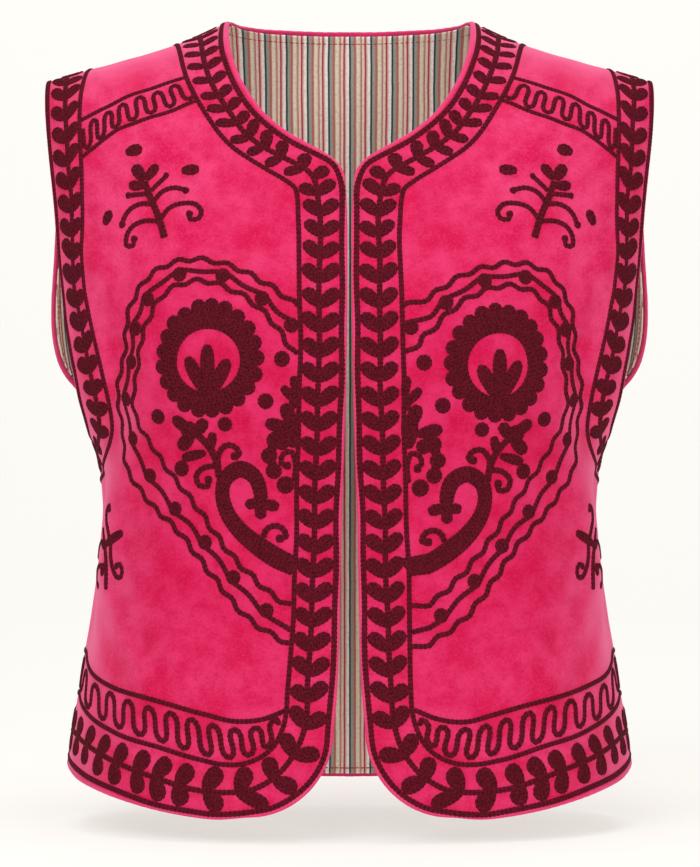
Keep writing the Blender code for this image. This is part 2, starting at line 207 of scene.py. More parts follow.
# Border bands of a front, mm. The band runs along the hem from the side seam, round the lower
# corner, up the front edge and round the neck to the shoulder.
# Distance of the outer line from the edge, at shares of the way from the side seam to the shoulder
EDGE_MARGIN = (
    (0.0, 6.4), (0.08, 5.6), (0.16, 3.8), (0.22, 3.1), (0.28, 3.5), (0.4, 3.1), (0.78, 3.0),
    (0.84, 4.7), (0.93, 4.9), (0.98, 3.5), (1.0, 3.3),
)
BAND_EDGE = 3.3
BAND_INNER = (
    (242.5, -407.5), (224, -405), (204.5, -405.5), (198, -409), (176, -418.5), (155, -424),
    (121, -431.7), (91, -438.7), (77, -441), (64.5, -440.5), (54, -436.5), (45.5, -429), (40.5, -418.5),
    (37, -393), (35, -345), (33.3, -290), (31.8, -240), (30.8, -190), (30.6, -140), (30.6, -108),
    (30.8, -97.5), (32.3, -90.5), (38, -85.2), (49, -78), (59.5, -71), (69, -63), (76, -54.3),
    (84, -40.5), (90.5, -25), (96, -4), (98.6, 12), (100.5, 27), (102.5, 44),
)
BAND_STEM = (
    (246.5, -426.5), (225, -427.5), (205, -429), (184, -434), (153, -442.5), (121, -450), (98, -456),
    (74, -457.5), (57, -455), (44, -447.5), (32, -432), (26.5, -416), (25, -395), (23.5, -360),
    (22, -320), (20.8, -280), (19.4, -235), (18.5, -190), (18, -140), (18.3, -100), (22.5, -82),
    (39.5, -70), (50, -63.5), (61, -53.8), (70.3, -38.5), (76.5, -26), (81.5, -10), (85, 8), (86.8, 28),
    (88.4, 49),
)
HEM_UPPER = (
    (236, -378.5), (222, -378.5), (206, -380), (195, -385), (182, -391), (160, -396.7), (126, -403),
    (88, -411.5), (70, -415.5), (54, -414), (38.5, -408),
)
# How far the sides of a winding row stand upright
MEANDER_LEAN = 1.15
# Where the winding row of the hem changes its stride
HEM_STRIDE = 204.0
HEM_MEANDER = {"low": 0.165, "high": 0.81, "width": 4.0}
# Where the hem's winding row ends, by the lower corner
HEM_CORNER = (43.0, -424.0)
ARM_INNER = (
    (157.5, 16.8), (160.8, 0), (164.4, -22), (167.2, -52), (169.8, -80), (173.6, -114), (176.4, -136),
    (176, -153), (172.5, -167.5), (167.5, -187), (163.4, -206), (161.6, -220), (162.8, -232),
    (167, -244), (175, -254), (188, -261.5), (206, -268), (224.8, -273.5),
)
ARM_STEM = (
    (175.4, 6.2), (175.9, -5), (177.2, -25), (178, -45), (179.6, -70), (180.6, -92), (183.2, -116),
    (186, -136), (186, -149), (183.5, -163.5), (180.4, -180), (176, -194), (172.5, -206), (171, -218),
    (173.8, -231), (179, -240.5), (186.5, -247.5), (197, -253), (210, -257.5), (227.2, -261.5),
)
ARM_EDGE = 3.2
ARM_EDGE_WIDTH = 3.6
# Stem and inner line of the back's narrow bands, from the edge, mm. They widen from this share of
# the way on, to meet the front bands at the shoulder.
BACK_BAND = (17.5, 30.5)
BACK_BAND_WIDENS = 0.45
BACK_NECK_END = (20.5, 36.0)
BACK_ARM_END = (21.5, 42.0)
# The neck lines run past the centre back, so that both halves close
PAST_CENTRE = -1.2
# Lines of the hem band of the back, and its stem, from the hem edge, mm
HEM_LINES = (3.6, 40.0, 70.0)
HEM_STEM = 21.5
# Little meander on the shoulder, between these lines, and its turns
SHOULDER_UPPER = (
    (165.5, -42), (155, -37), (146.5, -32.5), (134, -25.5), (123, -20), (104.5, -14), (95, -10.8),
)
SHOULDER_LOWER = (
    (167.5, -68), (158, -62), (149, -56), (138, -49), (127.5, -45), (105, -37), (88.5, -30.5),
)

# Leaves along each side of a stem, mm: count, pitch, lean from the stem in degrees, length, width.
# The outer ones lie towards the edge. A row of leaves starts at its own distance along the stem.
BAND_LEAVES_START = 5.9
ARM_LEAVES_START = 11.7
HEM_LEAVES_START = 9.0
NECK_LEAVES_START = 7.0
BACK_ARM_LEAVES_START = 4.0
BAND_OUTER_LEAVES = (
    (3, 13.3, 88, 13.0, 10.6), (2, 16.5, 76, 13.0, 11.4), (2, 16.8, 66, 14.0, 12.2),
    (1, 14.5, 59, 15.0, 12.4), (1, 15.6, 53, 16.0, 12.8), (1, 18.5, 49, 17.5, 13.0),
    (1, 20.3, 37, 18.2, 12.6), (1, 23.8, 24, 22.0, 10.4), (1, 19.0, 52, 18.5, 11.6),
    (1, 18.6, 50, 16.8, 11.0), (2, 15.6, 42, 16.4, 10.4), (17, 14.8, 44, 15.8, 9.9),
    (3, 13.6, 45, 15.0, 9.5), (1, 11.7, 50, 14.4, 9.2), (1, 8.1, 75, 11.4, 9.2),
    (1, 15.1, 51, 12.8, 9.8), (2, 11.2, 56, 12.4, 8.8), (4, 11.0, 58, 13.0, 8.2),
    (7, 12.8, 50, 14.0, 8.0),
)
BAND_INNER_LEAVES = (
    (3, 13.3, 66, 14.4, 10.2), (2, 16.5, 56, 14.6, 11.2), (2, 16.8, 54, 15.2, 11.6),
    (1, 14.5, 53, 15.8, 12.0), (1, 15.6, 54, 15.8, 12.0), (1, 18.5, 58, 16.0, 12.4),
    (1, 20.3, 56, 17.2, 12.6), (1, 23.8, 54, 16.4, 12.6), (1, 19.0, 60, 15.4, 11.4),
    (1, 18.6, 49, 15.2, 10.8), (2, 15.6, 42, 14.8, 10.4), (17, 14.8, 37, 14.8, 9.7),
    (3, 13.6, 38, 14.0, 9.4), (1, 19.8, 50, 13.0, 9.0), (1, 14.8, 44, 12.8, 7.4),
    (1, 12.6, 50, 12.6, 7.4), (4, 11.0, 51, 12.8, 7.2), (7, 12.6, 58, 12.4, 7.0),
)
ARM_OUTER_LEAVES = (
    (2, 12.0, 44, 11.0, 8.6), (1, 15.0, 40, 9.0, 7.0), (3, 14.0, 48, 12.0, 10.0),
    (2, 13.6, 42, 14.6, 11.0), (4, 14.8, 38, 16.0, 11.6), (3, 15.4, 54, 15.0, 11.8),
    (1, 14.8, 58, 14.6, 11.8), (2, 16.6, 55, 14.6, 11.8), (1, 14.0, 55, 14.0, 11.4),
    (4, 12.0, 62, 12.6, 10.6),
)
ARM_INNER_LEAVES = (
    (2, 12.0, 40, 10.4, 7.6), (1, 15.0, 24, 10.0, 8.0), (3, 14.0, 28, 12.6, 9.0),
    (2, 13.6, 36, 14.0, 9.6), (4, 14.8, 34, 14.8, 9.2), (3, 15.4, 27, 16.4, 8.6),
    (1, 14.8, 27, 17.0, 8.4), (2, 16.6, 30, 17.6, 8.4), (1, 14.0, 36, 17.6, 8.2),
    (4, 12.0, 42, 15.6, 8.0),
)
HEM_LEAVES = ((14, 15.7, 70, 15.0, 11.6),)
NECK_LEAVES = ((14, 13.0, 66, 12.6, 8.6),)
BACK_ARM_LEAVES = ((40, 15.0, 58, 14.0, 10.4),)
# How much nearer the front edge the band's inner line runs on one front than on the other, mm,
# between two heights, and over how far it fades in
BAND_UNEVEN = 1.2
UNEVEN_HEIGHTS = (-400, -130)
UNEVEN_FADE = 50

# How much farther out and lower the medallion lies on the left front; nothing at the band itself
MEDALLION_SHIFT = (5.4, -2.8)
SHIFT_ACROSS = (31, 43, 80, 108, 145)
SHIFT_SHARE = (0.0, 1.0, 1.0, 0.7, 0.15)
# Medallion: its outer and inner wavy outlines, as across and up of one and then of the other, mm
MEDALLION = (
    (31, -165.5, 32, -194.5), (51, -151, 47.5, -173), (75, -139.5, 68, -156.5),
    (100, -136.5, 90, -149.5), (119, -142.5, 111, -155.5), (134, -158, 126, -175),
    (144, -189, 133.5, -201), (153.5, -234, 136.5, -227), (149, -259, 122.5, -252),
    (133, -280, 101.5, -277.5), (106, -302, 82, -303), (83, -329, 61, -326.5), (62, -353, 46, -339.5),
    (35, -370, 35, -345.5),
)
WAVE_HEIGHT = 1.1
WAVE_LENGTH = 15.5
# Beads along the middle outline, from the band at the top round to the band below, mm
BEADS = (3, 27.3, 55.3, 84.2, 112.4, 132.7, 153.9, 177.4, 202.4, 229.7, 257.8, 285.8, 313.7, 343)
BEAD_RADIUS = 4.8
BEAD_INSET = 1.9
# Where the middle outline runs from the outer one to the inner one
MIDDLE_SHARE = 0.41

# Round flower of the medallion, mm: half width and half height of its hole and of its ring
FLOWER = (84.9, -195.8)
FLOWER_HOLE = (19.2, 18.2)
FLOWER_DROP = 1.5
FLOWER_RING = (29.4, 30.6)
FLOWER_ROWS = 7
FLOWER_LOBES = 21
LOBE_RADIUS = 5.0
# Petals inside it: base and tip from the flower's centre, and width
PETALS = (
    (0.2, -22, 0.3, 8.4, 9.8), (-1.2, -22, -12.4, -0.8, 9.6), (1.6, -22, 13.4, 1.4, 9.8),
    (0.2, -23, 0.2, -5, 11.0),
)

# Curled stem that rises from the band below the flower: (across, up, width), mm
CURLED_STEM = (
    (32.5, -322, 11.6), (45, -316, 12.6), (56, -309, 12.6), (67, -300, 11.6), (75, -289, 10.6),
    (77.8, -279, 10.2), (76, -269.5, 10.4), (66, -263, 10.6), (57.5, -267.5, 10.4), (54.2, -276, 9.8),
    (53.8, -284, 8.8),
)
CURLED_STEM_TIP = (53.8, -283)
TIP_PETALS = ((-170, 10.2, 7.4), (-90, 10.6, 8.2), (-14, 12.0, 7.8))

# Small curls on it: points along each, ending in a bead, mm
CURLS = (
    ((52.5, -304.5), (50, -299.2), (45, -297.2), (40, -299.6), (38.8, -304), (42.4, -304.6)),
    ((79.5, -262), (79.4, -253.5), (74.5, -248), (68.4, -249.8), (67, -254), (69.6, -254.6)),
    ((82, -260.5), (89.5, -262), (94.4, -267), (92.6, -272.6), (87, -272.8), (86.4, -269)),
)
# Branch with small leaves above the curled stem
BRANCH = ((79.5, -268), (80.8, -258), (84.5, -250), (90, -243.5), (98, -238))
BRANCH_LEAVES = (
    (93, -241.5, 87.2, -231.2, 8.8), (96, -240, 108.4, -230, 9.2), (94.5, -241, 106, -250.6, 9.8),
    (86.5, -252, 104.6, -256.2, 7.2), (84.5, -251.5, 82.6, -238.8, 6.8),
)
BRANCH_HEART = (97.6, -238.4, 6.2)
# Half blossom that stands against the band: leaves as base, tip and width; and round lobes
HALF_LEAVES = (
    (31.5, -219, 34, -205.6, 6.4), (32, -222, 40.6, -212.2, 6.6), (33, -227, 34, -216, 6.4),
    (33, -238, 39.5, -222.5, 9.6), (35, -239, 51, -234.6, 9.2), (34, -250, 35, -228, 11.5),
)
HALF_LOBES = (
    (44.8, -245, 5.6), (48.3, -254.5, 5.2), (45.8, -263.6, 5.2), (39, -272, 5.6), (40.5, -247, 4.8),
)
# Bow that joins the lobes, with its width
HALF_BOW = ((39, -237, 6), (45.4, -246, 6), (47.4, -255, 6), (45.2, -263.5, 5))
HALF_CURL = ((33.4, -270), (32.8, -258), (35.4, -252.2), (40.2, -254), (41, -259), (37.6, -260.8))

LOOSE_DOTS = (
    (40.5, -196.5, 5.0), (50.5, -221.5, 5.0), (74.8, -235, 4.8), (118.8, -229.8, 4.9), (104.4, -262.2, 5.2),
)
# Long dots above the chest sprig: from end to end, and width
LONG_DOTS = (
    (135.8, -66.3, 124.4, -62.8, 8.8), (101, -78.4, 89.2, -77.6, 8.0), (155.2, -113.4, 149.6, -103.6, 7.0),
)

# Sprig: drawn in its own frame, x towards the centre front and y up its stem, mm
SPRIG_STEM = ((0, 0), (0.4, 15), (-0.4, 30), (0, 41))
SPRIG_STEM_WIDTHS = (5.2, 5.0, 4.8, 4.4)
SPRIG_LEAVES = ((0, 38, -3, 50, 9.0), (0.5, 38, 11, 46, 6.8), (-0.5, 35, -11.5, 38.5, 7.4))
SPRIG_BUDS = ((1.5, 31, 14, 37.5, 3.6), (-1, 30, -13.5, 32.5, 3.8))
SPRIG_BRANCHES = (
    ((1, 24.5), (8.5, 28.6), (16, 28.9), (22.5, 25.4)),
    ((1, 12), (9, 17.2), (18.5, 17.6), (25.5, 14.6), (27.2, 9.4), (23.6, 5.6), (19, 7), (19.8, 10)),
    ((-0.5, 23), (-8, 25.2), (-14.5, 24.4), (-20, 21.4), (-24.6, 16.6)),
    ((-0.5, 11.5), (-10, 14.4), (-18, 13.4), (-24, 8.6), (-25.4, 3.4), (-21.4, 2), (-19.4, 5.8)),
)
SPRIG_LENGTH = 42.0
CHEST_SPRIG = ((114, -122.5), (125.7, -81))
# Sprig under the arm, close to the side seam, mm
SIDE_STEM = ((167, -338.5), (168, -327), (169.4, -318), (172, -309), (176, -300))
SIDE_HOOK = (
    (163.4, -309), (166.2, -301.5), (168.6, -295), (168.4, -289), (165.6, -286), (165, -290.5),
)
SIDE_CURL = (
    (163, -309), (163.4, -318), (161, -325.5), (156.5, -330.4), (152.2, -329.6), (151.4, -325.4),
    (154.6, -322.2), (157.2, -323.6),
)
SIDE_LEAVES = ((171, -311, 151.5, -302.4, 6.8), (172.6, -331, 172.4, -321.5, 5.0))
SIDE_BRANCHES = (
    ((172, -313), (178, -309), (184, -312), (187, -318)),
    ((170, -327), (177, -324), (183, -328), (184, -334), (180, -336)),
)

PINK = "#CC144E"
PINK_LIGHT = "#DD3E70"
PINK_DEEP = "#BF0C42"
# Painted highlight on the turned, rolled edges
PINK_EDGE_HIGHLIGHT = "#E0487C"
# Painted sheen where the cloth turns away from the view
PINK_PAINTED_SHEEN = "#F26A98"
PINK_SHEEN = "#FF9DBC"
PINK_IN_SHADE = "#EE7FCB"
MAROON = "#6B1024"
# Darker fibres, and painted shade in the grooves between links
MAROON_DARK_AND_GROOVE_SHADE = "#440713"
# Painted shade in the needle holes
HOLE_SHADE = "#1C0206"
CRIMSON_THREAD = "#A11838"
SLUB = "#6E6258"
PAPER = "#BAB9B5"
PAPER_GLOW = "#FBFAF6"
# The pile's broad, middle and fine mottling: size in mm, detail and roughness
PILE_MOTTLING = ((26.3, 4.0, 0.6), (8.33, 4.0, 0.6), (1.613, 3.0, 0.7))
# Painted shade over the body below the chest: heights, and distance to the side, mm
SHADE_FROM_CHEST = (-100, -190, 0.0)
SHADE_TO_HEM = (-430, -330, 0.45)
SHADE_TO_SIDE = (155, 110, 0.0)
SHADE_BELOW_CHEST = 0.56
# and painted shade towards the front edges
SHADE_TO_EDGE = (100, 45)
SHADE_AT_EDGE = 0.36
FIBRE = 1.111
LINING_WANDER = 16.67
SLUB_LENGTH = 2.0
WEFT_PITCH = 0.785

# Lining stripes, in order, mm wide and colour
STRIPES = (
    (1.2, "#2F4652"), (1.9, "#A2A6A0"), (1.0, "#CC7058"), (0.6, "#B98C80"), (2.2, "#F2E4D2"),
    (0.8, "#D2B0A0"), (0.5, "#BC6A60"), (1.6, "#EEDAC8"), (1.1, "#C43A5C"), (0.8, "#E2C2B6"),
    (1.9, "#FFF8EE"),
)

# Running stitches inside the edges, mm
STITCH = 2.6
STITCH_GAP = 0.9
STITCH_POINTS = 4
STITCH_SECTION = ((-0.35, 0.0), (0.0, 0.4), (0.35, 0.0))
FRONT_TOPSTITCH = -4.6
BACK_TOPSTITCH = {"neck": -7.4, "hem": 6.0, "arm": 5.0}

# Studio, metres: the floor runs forward of the origin, then turns up behind in an arc
FLOOR_SIZE = 9.0
FLOOR_FRONT = -2.6
FLOOR_RUN = 5.0
FLOOR_BEND = 1.2
# Soft lights: place, target, size and power in watts
LIGHTS = {
    "key": ((-0.9, -2.4, 1.5), (0, 0, -0.12), (1.6, 1.6), 31.0),
    "front": ((0.9, -3.0, 0.4), (0, 0, -0.2), (2.4, 1.6), 32.0),
    "top": ((0.0, -0.3, 1.5), (0, 0.1, -0.1), (1.6, 1.0), 13.0),
    "behind": ((0.0, 1.4, 1.9), (0, 3.6, 0.0), (2.4, 0.8), 14.0),
}
ROOM_LIGHT = 0.40
# Strength of the floor's own glow: painted light that keeps its shadows pale
PAPER_GLOW_STRENGTH = 0.585
CAMERA_PLACE = (0.0003, -2.2, -0.2413)
CAMERA_LENS = 143.9


def smooth_through(knots, values, at):
    """Read a smooth curve through a short table."""
    knots = np.asarray(knots, float)
    values = np.asarray(values, float)
    width = np.diff(knots)
    rise = np.diff(values) / width
    slope = np.empty_like(values)
    slope[1:-1] = (rise[:-1] * width[1:] + rise[1:] * width[:-1]) / (width[:-1] + width[1:])
    slope[0] = rise[0]
    slope[-1] = rise[-1]
    at = np.clip(at, knots[0], knots[-1])
    i = np.clip(np.searchsorted(knots, at) - 1, 0, len(knots) - 2)
    t = (at - knots[i]) / width[i]
    start = (2 * t**3 - 3 * t**2 + 1) * values[i] + (t**3 - 2 * t**2 + t) * width[i] * slope[i]
    end = (3 * t**2 - 2 * t**3) * values[i + 1] + (t**3 - t**2) * width[i] * slope[i + 1]
    return start + end


def section(column, height):
    k = SECTION_COLUMNS.index(column)
    return smooth_through([row[0] for row in SECTIONS], [row[k] for row in SECTIONS], height)


def shoulder_height(x):
    return smooth_through([p[0] for p in SHOULDER_LINE], [p[1] for p in SHOULDER_LINE], np.abs(x))


def depth(side, x, height):
    power = section(side + "_power", height)
    share = np.clip(np.abs(x) / section(side + "_half_width", height), 0, 1)
    rounding = np.clip((shoulder_height(x) - height) / SHOULDER_ROUNDING, 0, 1)
    flat = section(side + "_depth", height) * (1 - share**power) ** (1 / power)
    return flat * np.sqrt(1 - (1 - rounding) ** 2)


def along(*coordinates):
    """Length run along a line, from its first point."""
    steps = np.sqrt(sum(np.diff(c) ** 2 for c in coordinates))
    return np.concatenate([[0.0], np.cumsum(steps)])


def run_of(line):
    return along(line[:, 0], line[:, 1])


def unit(vectors):
    """Vectors at a length of one."""
    return vectors / np.maximum(np.linalg.norm(vectors, axis=-1, keepdims=True), 1e-9)


def at_marks(line, marks):
    """Places on a line, at lengths along it."""
    run = run_of(line)
    return np.stack([np.interp(marks, run, column) for column in line.T], axis=-1)


def smooth_line(points, step=LINE_STEP):
    """A smooth line through pattern places, with a point every step or so."""
    points = np.asarray(points, float)
    rough = run_of(points)
    fine = np.linspace(0, rough[-1], max(3, int(rough[-1] / step) + 2))
    return np.stack([smooth_through(rough, column, fine) for column in points.T], axis=1)


class Form:
    """The surface that one side of the vest lies on, as a net of points over (across, up)."""

    def __init__(self, side, folds):
        self.side = side
        self.outward = -1.0 if side == "front" else 1.0
        self.across = np.arange(0, NET_ACROSS + NET_PITCH, NET_PITCH)
        self.up = np.arange(NET_BOTTOM, NET_TOP + NET_PITCH, NET_PITCH)
        self.net = np.zeros((len(self.up), len(self.across), 3))
        chest = int(round((CHEST_LINE - NET_BOTTOM) / NET_PITCH))
        for row in range(chest + 1):
            self.net[row] = self.level_line(self.up[row])
        for column in range(len(self.across)):
            start = self.net[chest, column, 0]
            self.net[chest:, column] = self.upright_line(start, self.up[chest:])
        self.net += self.net_normals() * self.fold_height(folds)[..., None]
        self.normals = self.net_normals()

    def level_line(self, height):
        """Places along the section at a height, from the centre line round to the far side."""
        other = "back" if self.side == "front" else "front"
        turn = np.linspace(0, np.pi / 2, QUARTER_POINTS)
        half = section(self.side + "_half_width", height)
        other_half = section(other + "_half_width", height)
        near_x = half * np.sin(turn)
        near_y = self.outward * depth(self.side, near_x, height)
        far_x = (half * np.sin(turn))[::-1][1:]
        far_y = -self.outward * depth(other, far_x * other_half / half, height)
        x = np.concatenate([near_x, far_x])
        y = np.concatenate([near_y, far_y])
        run = along(x, y)
        places = [np.interp(self.across, run, x), np.interp(self.across, run, y)]
        return np.stack(places + [np.full(len(self.across), height)], axis=1)

    def upright_line(self, chest_x, ups):
        """Places up the cloth from the chest line to the shoulder, and straight on past it."""
        chest_half = section(self.side + "_half_width", CHEST_LINE)
        top = 0.0
        for _ in range(6):
            top = shoulder_height(chest_x * section(self.side + "_half_width", top) / chest_half)
        climb = np.linspace(0, 1, CLIMB_POINTS)
        z = CHEST_LINE + (top - CHEST_LINE) * (1 - (1 - climb) ** 2)
        x = chest_x * section(self.side + "_half_width", z) / chest_half
        y = self.outward * depth(self.side, x, z)
        run = along(x, y, z) + CHEST_LINE
        run = np.append(run, run[-1] + PAST_SHOULDER)
        x = np.append(x, x[-1])
        y = np.append(y, -self.outward * PAST_SHOULDER)
        z = np.append(z, top)
        return np.stack([np.interp(ups, run, c) for c in (x, y, z)], axis=1)

    def net_normals(self):
        tangent_up = np.gradient(self.net, axis=0)
        tangent_across = np.gradient(self.net, axis=1)
        return unit(np.cross(tangent_across, tangent_up) * -self.outward)

    def fold_height(self, folds):
        """How far the folds move the cloth out, fading towards the side seam."""
        across, up = np.meshgrid(self.across, self.up)
        total = np.zeros_like(across)
        for across_1, up_1, across_2, up_2, spread, height in folds:
            run = np.array([across_2 - across_1, up_2 - up_1], float)
            t = ((across - across_1) * run[0] + (up - up_1) * run[1]) / (run @ run)
            t = np.clip(t, 0, 1)
            off = (across - across_1 - t * run[0]) ** 2 + (up - up_1 - t * run[1]) ** 2
            total += height * np.exp(-off / (2 * spread**2))
        ahead = self.outward * (self.net[..., 1] - SEAM_BEHIND)
        fade = np.clip(ahead / FOLD_FADE, 0, 1)
        return total * fade * fade * (3 - 2 * fade)

    def read(self, values, places):
        """Read the net at (across, up) places."""
        columns = np.clip(places[..., 0] / NET_PITCH, 0, len(self.across) - 1.001)
        rows = np.clip((places[..., 1] - NET_BOTTOM) / NET_PITCH, 0, len(self.up) - 1.001)
        c = columns.astype(int)
        r = rows.astype(int)
        s = (columns - c)[..., None]
        t = (rows - r)[..., None]
        low = values[r, c] * (1 - s) + values[r, c + 1] * s
        high = values[r + 1, c] * (1 - s) + values[r + 1, c + 1] * s
        return low * (1 - t) + high * t

    def side_seam(self, height):
        """How far across the side seam lies at a height."""
        target = SEAM_BEHIND * (1.0 if self.side == "front" else -1.0)
        side = self.across[len(self.across) // 3:]
        places = np.stack([side, np.full(len(side), height)], axis=1)
        behind = -self.outward * self.read(self.net, places)[:, 1]
        return np.interp(target, behind, side)

    def shoulder_seam(self, x):
        """Where the shoulder seam lies at a distance from the middle of the body."""
        chest_half = section(self.side + "_half_width", CHEST_LINE)
        top_half = section(self.side + "_half_width", shoulder_height(x))
        chest = int(round((CHEST_LINE - NET_BOTTOM) / NET_PITCH))
        line = self.net[chest, :, 0]
        widest = int(np.argmax(line))
        across = np.interp(x * chest_half / top_half, line[: widest + 1], self.across[: widest + 1])
        ups = np.linspace(-60, NET_TOP, 301)
        places = np.stack([np.full(len(ups), across), ups], axis=1)
        short_of_seam = self.outward * self.read(self.net, places)[:, 1]
        return across, np.interp(0.0, -short_of_seam, ups)


def spaced(points, steps):
    """A smooth line through pattern places, cut in equal steps."""
    line = smooth_line(points, 0.4)
    return at_marks(line, np.linspace(0, run_of(line)[-1], steps + 1))


def close_points(line):
    """The same line with close, equal steps."""
    return spaced(line, int(run_of(line)[-1] / LINE_STEP))


def join(*lines):
    return np.concatenate([lines[0]] + [line[1:] for line in lines[1:]])


def corner_arc(start_degrees, end_degrees, steps):
    turn = np.radians(np.linspace(start_degrees, end_degrees, steps + 1))
    x = FRONT_CORNER_CENTRE[0] - FRONT_CORNER_RADIUS * np.cos(turn)
    z = FRONT_CORNER_CENTRE[1] - FRONT_CORNER_RADIUS * np.sin(turn)
    return np.stack([x, z], axis=1)


def fill_outline(bottom, top, inner, outer):
    """Places over a panel, blended from its four edges."""
    v = np.linspace(0, 1, len(inner))[:, None, None]
    u = np.linspace(0, 1, len(bottom))[None, :, None]
    level = (1 - v) * bottom[None] + v * top[None]
    upright = (1 - u) * inner[:, None] + u * outer[:, None]
    low = (1 - u) * bottom[0] + u * bottom[-1]
    high = (1 - u) * top[0] + u * top[-1]
    return level + upright - (1 - v) * low - v * high


def graded(grid, near, start_trim=0.0, end_trim=0.0):
    """A grid's lines along its first axis, set apart anew so that they crowd at both edges."""
    steps = np.linalg.norm(np.diff(grid, axis=0), axis=2)
    run = np.concatenate([np.zeros((1, grid.shape[1])), np.cumsum(steps, axis=0)])
    near = np.asarray(near)[:, None]
    first = start_trim + near + np.zeros((1, grid.shape[1]))
    last = run[-1] - end_trim - near[::-1]
    share = np.linspace(0, 1, grid.shape[0] - 2)[1:-1, None]
    middle = first[-1] + share * (last[0] - first[-1])
    marks = np.concatenate([first, middle, last])
    out = np.empty((len(marks), grid.shape[1], 2))
    for j in range(grid.shape[1]):
        for k in (0, 1):
            out[:, j, k] = np.interp(marks[:, j], run[:, j], grid[:, j, k])
    return out


def nearest(places, line, block=4000):
    """Distance from each place to a line of close points, and the index of the nearest one."""
    flat = places.reshape(-1, 2)
    best = np.empty(len(flat))
    which = np.empty(len(flat), int)
    for start in range(0, len(flat), block):
        part = flat[start: start + block]
        gap = ((part[:, None] - line[None]) ** 2).sum(axis=2)
        which[start: start + block] = gap.argmin(axis=1)
        best[start: start + block] = np.sqrt(gap.min(axis=1))
    return best.reshape(places.shape[:-1]), which.reshape(places.shape[:-1])


def swell(places):
    """Low uneven swells of the cloth, mm."""
    total = 0.0
    for turn, (across, up, height) in enumerate(SWELLS):
        phase = places[..., 0] * TURN / across + places[..., 1] * TURN / up + turn
        total = total + height * np.sin(phase)
    return total


class Panel:
    """A front, or half the back: its form, its pattern edges and the lie of its velvet."""

    def __init__(self, side, form, steps):
        self.form = form
        heights = np.linspace(SIDE_HEM_HEIGHT, UNDERARM_HEIGHT, SIDE_STEPS * steps + 1)
        across = [form.side_seam(height) - SEAM_GAP / 2 for height in heights]
        self.side_line = np.stack([across, heights], axis=1)
        xs = np.linspace(NECK_POINT, SHOULDER_TIP, SHOULDER_STEPS[side] * steps + 1)
        self.shoulder = np.array([form.shoulder_seam(x) for x in xs])
        self.shoulder[:, 1] -= SEAM_GAP / 2
        front = side == "front"
        neck, arm = (FRONT_NECK, FRONT_ARMHOLE) if front else (BACK_NECK, BACK_ARMHOLE)
        self.neck = spaced([*neck, self.shoulder[0]], NECK_STEPS[side] * steps)
        self.armhole = spaced([self.side_line[-1], *arm, self.shoulder[-1]], ARM_STEPS[side] * steps)
        self.outer = join(self.side_line, self.armhole)
        if front:
            lower = spaced(FRONT_EDGE[:5], LOWER_EDGE_STEPS * steps)
            upper = spaced(FRONT_EDGE[4:], UPPER_EDGE_STEPS * steps)
            self.opening = join(lower, upper)
            self.inner = join(corner_arc(45, 0, CORNER_STEPS * steps), lower, upper, self.neck)
            self.top = self.shoulder
            hem = [*corner_arc(45, 90, 6), *FRONT_HEM[1:], self.side_line[0]]
        else:
            self.inner = spaced((BACK_HEM[0], BACK_NECK[0]), len(self.outer) - 1)
            self.top = join(self.neck, self.shoulder)
            hem = [*BACK_HEM, self.side_line[0]]
        self.bottom = spaced(hem, HEM_STEPS * steps)
        self.grid = fill_outline(self.bottom, self.top, self.inner, self.outer)
        free = [self.bottom, self.armhole, self.neck] + ([self.inner] if front else [])
        self.free = np.concatenate([close_points(line) for line in free])
        self.seams = np.concatenate([close_points(line) for line in (self.side_line, self.shoulder)])

    def relief(self, places):
        """Height of the velvet over the form, and the distance from a free edge, mm."""
        edge, _ = nearest(places, self.free)
        seam, _ = nearest(places, self.seams)
        height = np.interp(edge, ROLL_AT, ROLL_HEIGHT)
        height = height - SEAM_DIP * np.exp(-(seam / SEAM_DIP_WIDTH) ** 2)
        calm = np.clip(np.minimum(edge, seam) / SWELL_END, 0, 1)
        return height + swell(places) * calm, edge

    def points(self, places, height):
        """Places in space, mm, at a height over the form."""
        base = self.form.read(self.form.net, places)
        normal = unit(self.form.read(self.form.normals, places))
        return base + normal * np.asarray(height)[..., None], normal


def whole(half, across=False):
    """A whole back from its right-hand half; places or points that lie across it change sides."""
    mirrored = half[:, :0:-1].copy()
    if across:
        mirrored[..., 0] *= -1
    return np.concatenate([mirrored, half], axis=1)


def placed(name, data):
    """A new object at the origin, in the scene."""
    piece = bpy.data.objects.new(name, data)
    bpy.context.scene.collection.objects.link(piece)
    return piece


def turn_faces(mesh, wrong_way):
    """Point all faces one way, and turn them over where that is the wrong one."""
    bmesh.ops.recalc_face_normals(mesh, faces=mesh.faces[:])
    if wrong_way(mesh):
        bmesh.ops.reverse_faces(mesh, faces=mesh.faces[:])


def finished(name, mesh, material):
    """A smooth object from a bmesh."""
    for face in mesh.faces:
        face.smooth = True
    data = bpy.data.meshes.new(name)
    mesh.to_mesh(data)
    mesh.free()
    data.materials.append(material)
    return placed(name, data)


